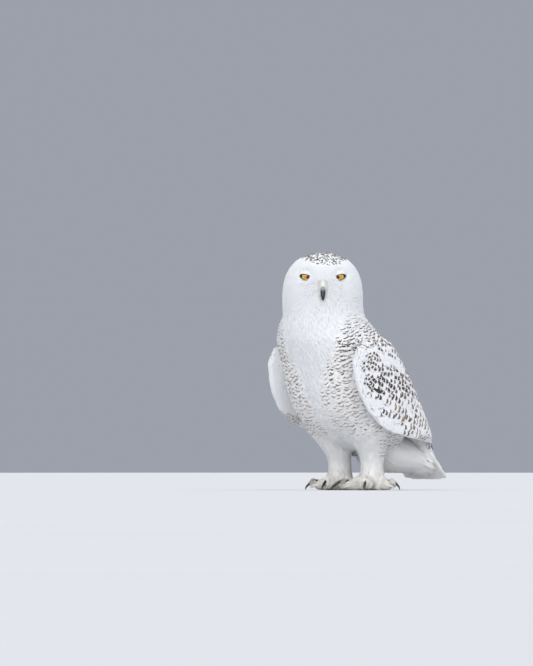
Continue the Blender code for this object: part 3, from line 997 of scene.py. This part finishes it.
# The opening between the lids, from the eyeball's middle: outwards and up
INNER_CORNER, OUTER_CORNER = np.array((-8.8, -2.9)), np.array((12.6, 2.4))
UPPER_LID, LOWER_LID = 4.8, 5.9  # how far each is open


def lid_way(side, turn, t):
    """The way from the eyeball's middle to the lids, a turn round their opening and t away from its rim."""
    centre, half = (OUTER_CORNER + INNER_CORNER) / 2, (OUTER_CORNER - INNER_CORNER) / 2
    c, s = math.cos(turn), math.sin(turn)
    out, up = centre + half * c
    up += UPPER_LID * s**1.1 if s > 0 else -LOWER_LID * (-s) ** 1.05
    radius = EYE_RADIUS / MM
    start, rim = np.arcsin(centre / radius), np.arcsin(np.array((out, up)) / radius)
    a, b = start + (rim - start) * (1 + t * (0.75 + 0.55 * abs(s)))
    ahead = (FACE_AHEAD * math.cos(a) + FACE_LEFT * OUTWARD[side] * math.sin(a)) * math.cos(b)
    return unit(ahead + UP * math.sin(b))


def make_lid(side, finish):
    """Upper and lower lid in one: a shell on the eyeball with a slanting opening, dark at rim and corner."""
    bm = bmesh.new()
    from_rim = bm.verts.layers.float.new("from_rim")
    rows = []
    for i in range(LID_RINGS + 1):
        t = (i / LID_RINGS) ** 1.4
        row = []
        for k in range(LID_TURNS):
            turn = 2 * math.pi * k / LID_TURNS
            c, s = math.cos(turn), math.sin(turn)
            lip = 1.05 + (0.05 + 0.03 * max(s, 0)) * math.sin(math.pi * min(t * 2.4, 1.0)) + 0.01 * t
            vert = bm.verts.new(EYES[side] + lid_way(side, turn, t) * EYE_RADIUS * lip)
            vert[from_rim] = t * (1 - 0.72 * max(c, 0) ** 8 - 0.3 * max(-c, 0) ** 12)
            row.append(vert)
        rows.append(row)
    centre = Vector(EYES[side])
    turned_in = [bm.verts.new(centre + (vert.co - centre) * 0.93) for vert in rows[0]]
    span(bm, [turned_in, *rows])
    return smooth_piece(bm, f"lids_{side}", finish, "horn")


# Bill and claws


def sweep(name, rows, sides, finish, keel=0.0):
    """A pointed horn in a solid's place, along rows of centre, side way, half width and half height."""
    bm = bmesh.new()
    along = bm.verts.layers.float.new("along")
    rings = []
    for i, (centre, side, wide, high) in enumerate(rows):
        before, after = rows[max(i - 1, 0)][0], rows[min(i + 1, len(rows) - 1)][0]
        up = np.cross(side, unit(after - before))
        ring = []
        for k in range(sides):
            t = 2 * math.pi * k / sides
            c, s = math.cos(t), math.sin(t)
            vert = bm.verts.new(centre + side * wide * c + up * high * (s + keel * max(s, 0) ** 4))
            vert[along] = i / (len(rows) - 1)
            ring.append(vert)
        rings.append(ring)
    span(bm, rings)
    bm.faces.new(rings[0])
    point = bm.verts.new(rows[-1][0] + unit(rows[-1][0] - rows[-2][0]) * rows[-1][3])
    point[along] = 1.0
    for k in range(sides):
        bm.faces.new((rings[-1][k - 1], rings[-1][k], point))
    return smooth_piece(bm, f"horn_{name}", finish, "horn", name)


def smooth_run(table, count):
    """Rows read evenly from a smooth curve through a table's rows."""
    table = np.array(table, float)
    out = []
    for i in range(count):
        t = i / (count - 1) * (len(table) - 1)
        k = min(int(t), len(table) - 2)
        f = t - k
        before, after = table[max(k - 1, 0)], table[min(k + 2, len(table) - 1)]
        a, b = table[k], table[k + 1]
        bend = (2 * before - 5 * a + 4 * b - after) * f**2 + (3 * a - before - 3 * b + after) * f**3
        out.append(a + 0.5 * ((b - before) * f + bend))
    return np.array(out)


HORN_ROWS, BILL_SIDES, CLAW_SIDES = 22, 28, 20
CLAW_ROOT, CLAW_ARCH, CLAW_TIP = 16, 6, 1  # heights along a claw's middle line
# From between the eyes: ahead, up, half width, half height
BILL_UPPER = [
    (8, -16.5, 4.2, 4.2),
    (20, -18.5, 5.4, 5.0),
    (29, -25.5, 5.6, 5.0),
    (34.2, -34.5, 5.2, 4.4),
    (35.6, -43.3, 3.5, 2.8),
    (34.6, -49.3, 1.0, 0.9),
]
BILL_LOWER = [
    (10, -35, 3.6, 3.0),
    (20, -39, 4.2, 3.0),
    (27, -44, 3.3, 2.3),
    (30.4, -47.4, 1.0, 0.8),
]


def make_bill(finishes):
    for name, table in (("bill_upper", BILL_UPPER), ("bill_lower", BILL_LOWER)):
        rows = [
            (face_point(0, ahead, up), FACE_LEFT, wide * MM, high * MM)
            for ahead, up, wide, high in smooth_run(table, HORN_ROWS)
        ]
        sweep(name, rows, BILL_SIDES, finishes[name], keel=0.12)


def make_claws(finish):
    for side in SIDES:
        for toe in TOES:
            name = f"claw_{side}_{toe}"
            points = points_of(solids[name].data) - FEET[side]
            ahead, across = toe_ways(name, side)
            start, end = (points @ ahead).min(), (points @ ahead).max()
            wide = np.ptp(points @ across) / 2
            rows = []
            for i in range(HORN_ROWS):
                t = i / (HORN_ROWS - 1)
                reach = start + (end - start) * math.sin(t * math.pi / 2) ** 1.1
                arch = CLAW_ARCH * math.sin(math.pi * min(t * 1.5, 1)) * (1 - t)
                height = CLAW_ROOT + arch + (CLAW_TIP - CLAW_ROOT) * t**2.2
                radius = wide * (1 - t) ** 0.55 + 0.25 * MM
                rows.append((FEET[side] + ahead * reach + UP * height * MM, across, radius, radius * 1.15))
            sweep(name, rows, CLAW_SIDES, finish)


# Stage

FLOOR_DARK, FLOOR_LIGHT = (0.65, 0.66, 0.675, 1), (0.68, 0.69, 0.705, 1)
SKY_LOW, SKY_HIGH = (0.335, 0.355, 0.41, 1), (0.93, 0.95, 0.99, 1)
# Each light's strength, breadth in degrees and way
SUNS = {"soft_key": (0.92, 70, (-0.65, 0.75, -0.75)), "soft_fill": (1.4, 110, (-0.7, 0.7, -0.12))}


def make_floor():
    bpy.ops.mesh.primitive_plane_add(size=80)
    floor = bpy.context.object
    floor.name = "floor"
    material, tree = new_finish("pale_floor")
    colour = blend(noise(tree, 3.0), FLOOR_DARK, FLOOR_LIGHT)
    looks = {"Base Color": colour, "Roughness": 1.0, "Specular IOR Level": 0.0}
    floor.data.materials.append(finished(material, looks, noise(tree, 60.0), 0.1, 0.002))


def make_light():
    world = bpy.data.worlds.new("soft_sky")
    bpy.context.scene.world = world
    world.use_nodes = True
    tree = world.node_tree
    way = value_of(tree, "ShaderNodeTexCoord", {}, output="Generated")
    height = value_of(tree, "ShaderNodeSeparateXYZ", {0: way}, output=2)
    sky = blend(step(height, 0.12, 0.60), SKY_LOW, SKY_HIGH)
    fill(tree.nodes["Background"], {"Color": sky, "Strength": 1.0})
    for name, (energy, breadth, way) in SUNS.items():
        sun = bpy.data.lights.new(name, "SUN")
        sun.energy = energy
        sun.angle = math.radians(breadth)
        linked(name, sun).rotation_euler = Vector(way).to_track_quat("-Z", "Y").to_euler()
    bpy.context.scene.view_settings.view_transform = "Standard"


# The view, in metres from between the feet
VIEW_TURN = math.radians(45)
VIEW_DISTANCE, VIEW_TALL = 14.0, 1.3986
EYE_LEVEL, AIM_HEIGHT, AIM_SIDE = 0.046, 0.330, 0.188
SENSOR = 36


def make_camera():
    toward = Vector((math.sin(VIEW_TURN), -math.cos(VIEW_TURN), 0))
    right = Vector((math.cos(VIEW_TURN), math.sin(VIEW_TURN), 0))
    between_feet = Vector((FEET["left"] + FEET["right"]) / 2)
    aim = between_feet - right * AIM_SIDE + Vector((0, 0, AIM_HEIGHT))
    camera = bpy.data.cameras.new("camera")
    camera.sensor_width = SENSOR
    camera.lens = SENSOR * VIEW_DISTANCE / VIEW_TALL
    camera.clip_end = 200
    obj = linked("camera", camera)
    obj.location = aim + toward * VIEW_DISTANCE
    obj.location.z = EYE_LEVEL
    obj.rotation_euler = (aim - obj.location).to_track_quat("-Z", "Y").to_euler()
    bpy.context.scene.camera = obj


# The coat, piece by piece

# The wing's rows by distance from a point behind its tip: length, half width, spacing, gap to the next row
WING_ROWS = [
    (205, 62, 9.0, 13, 24),
    (300, 66, 10.5, 15, 25),
    (372, 52, 10.5, 15, 18),
    (405, 36, 9.5, 15, 14),
    (445, 30, 8.5, 14, 12.5),
    (500, 24, 7.0, 11.5, 10.5),
    (580, 18, 6.0, 9.5, 9),
]
FAN = -1.2, 1.4  # the rows' ends, as angles round that point


def wing_rows(surface, side, rng):
    """The feathers of the wing's outer face, in rows."""
    way = OUTWARD[side]
    hub = WING_TIPS[side][1:] + np.array((212, -37)) * MM
    distances, *table = np.array(WING_ROWS).T
    places, sizes = [], []
    reach = distances.max()
    while reach > distances.min():
        length, half_wide, spacing, to_next = (np.interp(reach, distances, column) for column in table)
        turn = FAN[0] + rng.random() * spacing / reach
        while turn < FAN[1]:
            out = (reach + rng.normal(0, 0.16) * spacing) * MM
            y, z = hub + np.array((-math.cos(turn), math.sin(turn))) * out
            found = surface.tree.ray_cast(Vector((0.3 * way, y, z)), Vector((-way, 0, 0)), 0.4)
            if found[0] is not None:
                nearest = surface.triangles[found[2]][0]
                outer = surface.rise[nearest][0] * way > 0.35 and y / MM > wing_front(side, z / MM) + 5
                if outer and surface.part[nearest].startswith(f"wing_{side}"):
                    places.append(found[0])
                    sizes.append((length * rng.uniform(0.9, 1.1), half_wide * rng.uniform(0.85, 1.2)))
            turn += spacing / reach * rng.uniform(0.8, 1.2)
        reach -= to_next
    roots = rooted(surface, places)
    roots.length, roots.half_wide = np.array(sizes).T * MM
    roots.lie = square_to(wing_lie(roots.place, side), roots.rise)
    roots.mark, roots.spot = markings(shown(roots), roots.part)
    high = ramp(roots.place[:, 2] / MM, 165, 205)
    roots.mark *= rng.random(len(roots.mark)) < 0.62 + 0.33 * high + 0.22 * clumps(roots.place)
    roots.mark *= rng.uniform(0.6, 1.2, len(roots.mark))
    roots.spot = np.clip(roots.spot + rng.normal(0, 0.15, len(roots.spot)), 0, 1)
    return roots


def smoothed_edges(roots):
    """Makes the wings' loose feathers shorter where they face ahead, and lays those along the front edge."""
    front = ramp(-roots.rise[:, 1], 0.0, 0.5)[:, None]
    roots.lie = square_to(roots.lie * (1 - front) + np.array((0, 0.1, -1.0)) * front, roots.rise)
    roots.length = roots.length * (1 - 0.3 * front[:, 0])
    # Feathers at the right wing's lower front end are given marks, for a dark grey patch there
    x, y, z = (roots.place / MM).T
    end = (x < -95) & (y < -66) & (np.abs(z - 151 + 0.25 * (y + 95)) < 15)
    roots.mark[end] = 0.55
    return roots


def tail_quills(surface, rng):
    """The long feathers of the tail, side by side on its upper face."""
    low, high = corners("tail")
    start, end = np.array((0, low[1] + 27 * MM, high[2])), np.array((0, high[1], low[2]))
    places, lies = [], []
    for count, share, last in ((11, 0.22, 6.2), (12, 0.30, 6.4)):
        for i in range(count):
            across = (i - (count - 1) / 2) / last
            wide = (42 + 22 * share) * MM
            places.append(start + (end - start) * share + (wide * across, 6 * MM, 6 * MM))
            lies.append(unit(end - start) + (0.13 * across, 0, 0))
    roots = rooted(surface, places)
    roots.lie = unit(np.array(lies))
    roots.length = np.full(len(places), np.linalg.norm(end - start) * 0.70)
    roots.half_wide = np.full(len(places), 8.5 * MM)
    roots.mark = np.where(rng.random(len(places)) < 0.5, 0.34, 0.0)
    return roots


def whiskers(surface, rng, count):
    """Fine grey hairs beside the bill."""
    places = []
    for _ in range(count):
        side = rng.uniform(9, 36) * rng.choice((-1, 1))
        places.append(surface.on_face(side, rng.uniform(-36, -6)))
    roots = rooted(surface, places)
    roots.lie = square_to(unit(roots.place - BILL_ROOT) - UP * 0.35, roots.rise)
    roots.length = rng.uniform(9, 17, count) * MM
    roots.half_wide = rng.uniform(0.2, 0.45, count) * MM
    roots.proud = np.full(count, 0.3 * MM)
    return roots


def bristles(surface, rng, count):
    """Stiff hairs that lie down over the root of the bill, along its ridge and its sides."""
    ahead, up, _, high = smooth_run(BILL_UPPER, 40).T
    ridge = ahead + high
    places, lengths, sides = [], [], []
    for _ in range(count):
        side = rng.normal(0, 4.6)
        level = rng.uniform(-18 - 1.4 * abs(side), -5)
        end = -27 - 1.5 * abs(side)
        skin = (surface.on_face(side, level) - BETWEEN_EYES) @ FACE_AHEAD / MM
        over = np.interp(-level, -up, ridge) + 0.4 - side * side / 7
        places.append(face_point(side, max(skin, over), level))
        lengths.append(np.clip((level - end) / 0.9, 4, 16) * rng.uniform(0.8, 1.05))
        sides.append(side)
    roots = rooted(surface, places)
    roots.place = np.array(places)
    roots.lie = unit(FACE_AHEAD * 0.30 - UP - np.outer(np.array(sides) / 30, FACE_LEFT))
    roots.rise = square_to(FACE_AHEAD + np.outer(np.array(sides) / 9, FACE_LEFT), roots.lie)
    roots.length = np.array(lengths) * MM
    roots.half_wide = rng.uniform(0.3, 0.65, count) * MM
    return roots


def lid_tufts(surface, rng, count):
    """Short feathers on the lids, from their bare rims outwards."""
    places, ways, lies = [], [], []
    for side in SIDES:
        for _ in range(count):
            turn = rng.uniform(0, 2 * math.pi)
            least = 0.26 + 0.5 * max(math.cos(turn), 0) ** 8
            t = rng.uniform(least, 1.15)
            way = lid_way(side, turn, t)
            places.append(EYES[side] + way * EYE_RADIUS * 1.075)
            ways.append(way)
            lies.append(unit(lid_way(side, turn, t + 0.15) - way) + way * (0.04 + 0.3 * t * t))
    roots = rooted(surface, places)
    roots.place, roots.lie = np.array(places), unit(np.array(lies))
    roots.rise = square_to(np.array(ways), roots.lie)
    roots.length = rng.uniform(4.0, 7.0, len(places)) * MM
    roots.half_wide = rng.uniform(0.7, 1.2, len(places)) * MM
    return roots


def undertail_plumes(roots, rng):
    """Long soft feathers from the rear of the undertail, along the tail's lower face."""
    run = unit(np.array((0, 1, -0.22)))
    rear = corners("undertail")[1][1]
    some = (roots.place[:, 1] > rear - 40 * MM) & (rng.random(len(roots.place)) < 0.7)
    plumes = roots.chosen(some)
    plumes.lie = run + rng.normal(0, 0.06, plumes.lie.shape)
    plumes.rise = unit(plumes.rise - run * (plumes.rise @ run)[:, None] * 0.9)
    room = (corners("tail")[1][1] - plumes.place[:, 1]) * 0.85
    plumes.length = np.minimum(rng.uniform(22, 42, len(plumes.place)) * MM, room)
    plumes.half_wide = rng.uniform(3.5, 6.5, len(plumes.place)) * MM
    return plumes


TOE_TUFTS, CLAW_TUFTS, LEG_TUFTS = 110, 120, 420  # on each toe, over each claw and round each leg


def toe_tufts(name, side, rng):
    """Each tuft round a toe and over its claw: its place, way, length, and whether it stands off the toe."""
    ahead, across = toe_ways(name, side)
    tip = FEET[side] + ahead * ((points_of(solids[name].data) - FEET[side]) @ ahead).max()
    for _ in range(TOE_TUFTS):
        turn, back = rng.uniform(-0.25, math.pi + 0.25), rng.uniform(2, 16)
        c, s = math.cos(turn), math.sin(turn)
        place = tip + (across * c * 12 + UP * (10.5 + 11 * s) - ahead * back) * MM
        lie = ahead + across * c * 0.05 - UP * (0.10 + 0.34 * max(s, 0))
        yield place, lie, rng.uniform(0.60, 1.0) * (16 + 0.75 * back), False
    for _ in range(CLAW_TUFTS):
        turn, back = rng.uniform(0.08, 0.92) * math.pi, rng.uniform(-3, 7)
        c, s = math.cos(turn), math.sin(turn)
        place = tip + (across * c * 8.5 + UP * (13 + 13.5 * s) - ahead * back) * MM
        lie = ahead - across * c * 0.15 - UP * (0.26 - 0.03 * back)
        yield place, lie, rng.uniform(9, 15), True


def leg_tufts(side, rng):
    """Each tuft round a leg, as for a toe."""
    for _ in range(LEG_TUFTS):
        turn, high = rng.uniform(0, 2 * math.pi), rng.uniform(24, 48)
        out = np.array((math.cos(turn), math.sin(turn), 0))
        place = FEET[side] + (out * 30 + UP * high) * MM
        yield place, out * (0.75 - 0.009 * high) - UP, rng.uniform(14, 20), False


def foot_tufts(surface, rng):
    """Long soft feathers that hang from each leg over the toes, and from each toe over its claw."""
    tufts = []
    for side in SIDES:
        for toe in TOES:
            tufts += toe_tufts(f"toe_{side}_{toe}", side, rng)
        tufts += leg_tufts(side, rng)
    places, lies, lengths, free = map(np.array, zip(*tufts))
    roots = rooted(surface, places)
    roots.place[free] = places[free]
    roots.lie = unit(lies)
    roots.length = lengths * MM
    roots.half_wide = rng.uniform(0.9, 1.7, len(places)) * MM
    return roots


# How far apart marked feathers stand, how much broader they are and what share of them stays plain
MARKED = {
    "head": (4.6, 2.2, 0.03),
    "neck": (7.0, 2.2, 0.10),
    "trunk": (10.2, 1.35, 0.08),
    "thigh": (10.5, 1.5, 0.20),
}
MARKED_RISE = 0.55 * MM  # how far marked feathers stand over plain ones
MARKS_AT = 0.82  # where marks are seen, as a share of the feather's length


def shown(roots):
    """Where each feather's marks are seen, which is near its tip."""
    return roots.place + roots.lie * roots.length[:, None] * MARKS_AT


def clumps(place):
    """From -1 to 1, changing every few centimetres: where marks gather or thin out."""
    x, y, z = (place / MM).T
    return np.sin(x / 17 + 2.1 * np.sin(z / 23)) * np.sin(z / 13 + 1.7 * np.sin(y / 19 + x / 31))


def mark_some(roots, rng):
    """Leaves marks on some feathers only, so that bars and spots stand apart as they do on the bird."""
    mark, roots.spot = markings(shown(roots), roots.part)
    roots.mark = np.zeros(len(mark))
    for kind, (reach, broader, plain) in MARKED.items():
        some = np.flatnonzero((roots.kind == kind) & (mark > 0.04))
        gather = clumps(roots.place[some])
        gap = (reach - (4.4 * mark[some] + 1.3 * gather if kind == "trunk" else 0)) * MM
        keep = some[sparse(roots.place[some], gap, rng) & (rng.random(len(some)) > plain)]
        roots.mark[keep] = mark[keep] * rng.uniform(0.5, 1.4, len(keep))
        roots.mark[keep] *= 1 + 0.25 * clumps(roots.place[keep])
        roots.half_wide[keep] *= broader * rng.uniform(0.75, 1.2, len(keep))
        roots.proud[keep] = MARKED_RISE


def without_bare_places(roots):
    """Nothing grows on the eyes, and the wings' outer faces have rows of their own."""
    keep = np.ones(len(roots.place), bool)
    _, y, z = (roots.place / MM).T
    for side, way in OUTWARD.items():
        off = (roots.place - EYES[side]) / MM
        out, up = off @ FACE_LEFT * way - 1.9, off @ UP + 0.4
        keep &= ((out / 12.2) ** 2 + (up / 6.9) ** 2 > 1) | (off @ FACE_AHEAD < 0)
        rowed = (roots.rise[:, 0] * way > 0.42) & (y > wing_front(side, z) + 14)
        keep &= ~(rowed & on_wing(roots.part, side))
    return roots.chosen(keep)


def feather_shapes():
    return {
        "bristle": feather_shape("bristle", 1, 3, 0.3, 0.9),
        "tiny": feather_shape("tiny_feather", 3, 2, 0.6, 0.5),
        "small": feather_shape("small_feather", 4, 2, 0.6, 0.45, flush=0.90),
        "sleek": feather_shape("sleek_feather", 4, 3, 0.2, 0.5, flush=0.90),
        "large": feather_shape("large_feather", 8, 4, 0.34, 0.4),
        "covert": feather_shape("covert", 6, 4, 0.2, 0.45, flush=0.82),
        "quill": feather_shape("quill", 6, 12, 0.06, 0.5, roundness=2.0, flush=0.80),
    }


# Each piece of the coat: its feather's shape, its finish and slot, its patch on the map, and what it changes
COAT_PIECES = {
    "face_feathers": ("tiny", "white", "plumage", 0.003, {}),
    "head_feathers": ("small", "white", "plumage", 0.004, {}),
    "crown_feathers": ("covert", "crown", "plumage", 0.005, {"Turn": 0.3}),
    "neck_feathers": ("small", "white", "plumage", 0.004, {}),
    "bib_feathers": ("small", "white", "plumage", 0.004, {}),
    "breast_feathers": ("large", "barred", "barred_plumage", 0.008, {"Turn": 0.28}),
    "back_feathers": ("large", "barred", "barred_plumage", 0.008, {}),
    "thigh_feathers": ("large", "barred", "barred_plumage", 0.007, {"Turn": 0.28}),
    # Legs, undertail and the tail's lower face take the whiter finish, which is partly painted bounce light
    "leg_feathers": ("tiny", "bounce_lit_white", "plumage", 0.003, {}),
    "toe_feathers": ("tiny", "stained", "foot_plumage", 0.003, {}),
    "foot_tufts": (
        "tiny", "stained", "foot_plumage", 0.003, {"Follow": 0.12, "Turn": 0.25, "Length Change": 0.2},
    ),
    "undertail_feathers": ("small", "bounce_lit_white", "plumage", 0.004, {}),
    "undertail_plumes": ("large", "bounce_lit_white", "plumage", 0.004, {"Follow": 0.2, "Turn": 0.15}),
    "tail_underside": ("small", "bounce_lit_white", "plumage", 0.004, {}),
    "wing_edges": (
        "sleek", "white", "plumage", 0.004, {"Turn": 0.06, "Ruffle": 0.0003, "Length Change": 0.05},
    ),
    "tail_quills": (
        "quill", "quill", "quill_plumage", 0.012, {"Turn": 0.02, "Ruffle": 0.0008, "Length Change": 0.02},
    ),
    "bill_bristles": ("bristle", "bristle", "plumage", 0.002, {"Follow": 0.0, "Turn": 0.20}),
    "whiskers": ("bristle", "whisker", "plumage", 0.002, {}),
    "lid_tufts": ("tiny", "white", "plumage", 0.002, {"Follow": 0.0, "Turn": 0.25}),
    "wing_coverts": ("covert", "wing", "wing_plumage", 0.010, {"Turn": 0.10, "Ruffle": 0.0004}),
    "wing_quills": (
        "quill", "quill", "quill_plumage", 0.012, {"Turn": 0.04, "Ruffle": 0.0005, "Length Change": 0.06},
    ),
}
COAT_SEED = 11
BROAD = 5.0 * MM  # the half width from which a plain feather of the trunk has a barred one's shape
BREAST_END = -78 * MM  # the Y behind which the trunk's feathers are the back's
QUILL_LENGTH = 44 * MM  # from which a feather of the wing is a quill
BRISTLES, WHISKERS, LID_TUFTS = 1100, 170, 700


def sorted_roots(surface):
    """Every feather's root, sorted into the coat's pieces."""
    rng = np.random.default_rng(COAT_SEED)
    roots = scatter(surface, rng)
    mark_some(roots, rng)
    roots = without_bare_places(roots)
    kind, spotted = roots.kind, roots.mark > 0
    face = (roots.face > 0.40) & ~spotted
    head, neck, trunk, undertail = (kind == name for name in ("head", "neck", "trunk", "undertail"))
    broad = spotted | (roots.half_wide > BROAD)
    front = roots.place[:, 1] < BREAST_END
    rows = {side: wing_rows(surface, side, rng) for side in SIDES}
    pieces = {
        "face_feathers": roots.chosen(face),
        "head_feathers": roots.chosen(head & ~face & ~spotted),
        "crown_feathers": roots.chosen(head & spotted),
        "neck_feathers": roots.chosen(neck & ~face),
        "bib_feathers": roots.chosen(trunk & ~broad),
        "breast_feathers": roots.chosen(trunk & broad & front),
        "back_feathers": roots.chosen(trunk & broad & ~front),
        "thigh_feathers": roots.chosen(kind == "thigh"),
        "leg_feathers": roots.chosen(kind == "leg"),
        "toe_feathers": roots.chosen(np.isin(kind, ("foot", "toe"))),
        "foot_tufts": foot_tufts(surface, rng),
        "undertail_feathers": roots.chosen(undertail),
        "undertail_plumes": undertail_plumes(roots.chosen(undertail), rng),
        "tail_underside": roots.chosen(kind == "tail"),
        "wing_edges": smoothed_edges(roots.chosen(np.isin(kind, WINGS))),
        "tail_quills": tail_quills(surface, rng),
        "bill_bristles": bristles(surface, rng, BRISTLES),
        "whiskers": whiskers(surface, rng, WHISKERS),
        "lid_tufts": lid_tufts(surface, rng, LID_TUFTS),
    }
    for side in SIDES:
        long = rows[side].length > QUILL_LENGTH
        pieces[f"wing_coverts_{side}"] = rows[side].chosen(~long)
        pieces[f"wing_quills_{side}"] = rows[side].chosen(long)
    return pieces


def make_coat(surface, finishes):
    outline_mesh = surface.mesh.copy()
    carry(outline_mesh, "rise", surface.rise)
    outline = bpy.data.objects.new("outline", outline_mesh)
    tree, shapes = coat_tree(), feather_shapes()
    for seed, (name, roots) in enumerate(sorted_roots(surface).items(), 1):
        kind = name.removesuffix("_left").removesuffix("_right")
        shape, finish, slot, patch, changes = COAT_PIECES[kind]
        inputs = {"Patch": patch, "Seed": seed, **changes}
        grow(name, outline, roots, shapes[shape], tree, finishes[finish], slot, inputs)
    for obj in (outline, *shapes.values()):
        bpy.data.objects.remove(obj)


def coat_finishes():
    return {
        "white": plumage_finish("white_feathers", WHITE, SHADOW, 0.25),
        "crown": plumage_finish("crown_feathers", WHITE, SHADOW, 0.2, (0.82, 0.82), thick=0.13),
        "barred": plumage_finish("barred_feathers", (0.84, 0.84, 0.84, 1), (0.77, 0.765, 0.765, 1), 0.25),
        "wing": plumage_finish("wing_feathers", WHITE, GREY, 0.15, (0.82, 0.48), 0.062, 0.14, single=0.55),
        "quill": plumage_finish("quill_feathers", WHITE, GREY, 0.1, (0.86, 0.62), thick=0.022),
        # Whiter than the other white feathers, for the legs, the undertail and the tail's lower face: partly
        # their own pure white, and partly painted bounce light, because these down-turned faces lie in shade
        "bounce_lit_white": plumage_finish("white_feathers_painted_bounce_light", (0.90, 0.895, 0.88, 1), (0.85, 0.845, 0.83, 1), 0.3),
        "stained": plumage_finish("foot_feathers", (0.85, 0.84, 0.82, 1), (0.64, 0.59, 0.50, 1), 0.2),
        "bristle": bristle_finish("bill_bristles", (0.68, 0.665, 0.63, 1), (0.87, 0.86, 0.83, 1)),
        "whisker": bristle_finish("grey_whiskers", (0.36, 0.36, 0.37, 1), (0.66, 0.66, 0.67, 1)),
    }


def main():
    surface = Surface()
    make_skin(surface, skin_finish("down", (0.82, 0.82, 0.82, 1)))
    make_coat(surface, coat_finishes())
    wet, rim = eye_finish(), lid_finish()
    for side in SIDES:
        make_eye(side, wet)
        make_lid(side, rim)
    horn = horn_finish("dark_horn", BLACK_HORN, WORN_HORN)
    hooked = horn_finish("hooked_horn", BLACK_HORN, WORN_HORN, root=BLUE_HORN)
    make_bill({"bill_upper": hooked, "bill_lower": horn})
    make_claws(horn)
    make_floor()
    make_light()
    make_camera()


main()
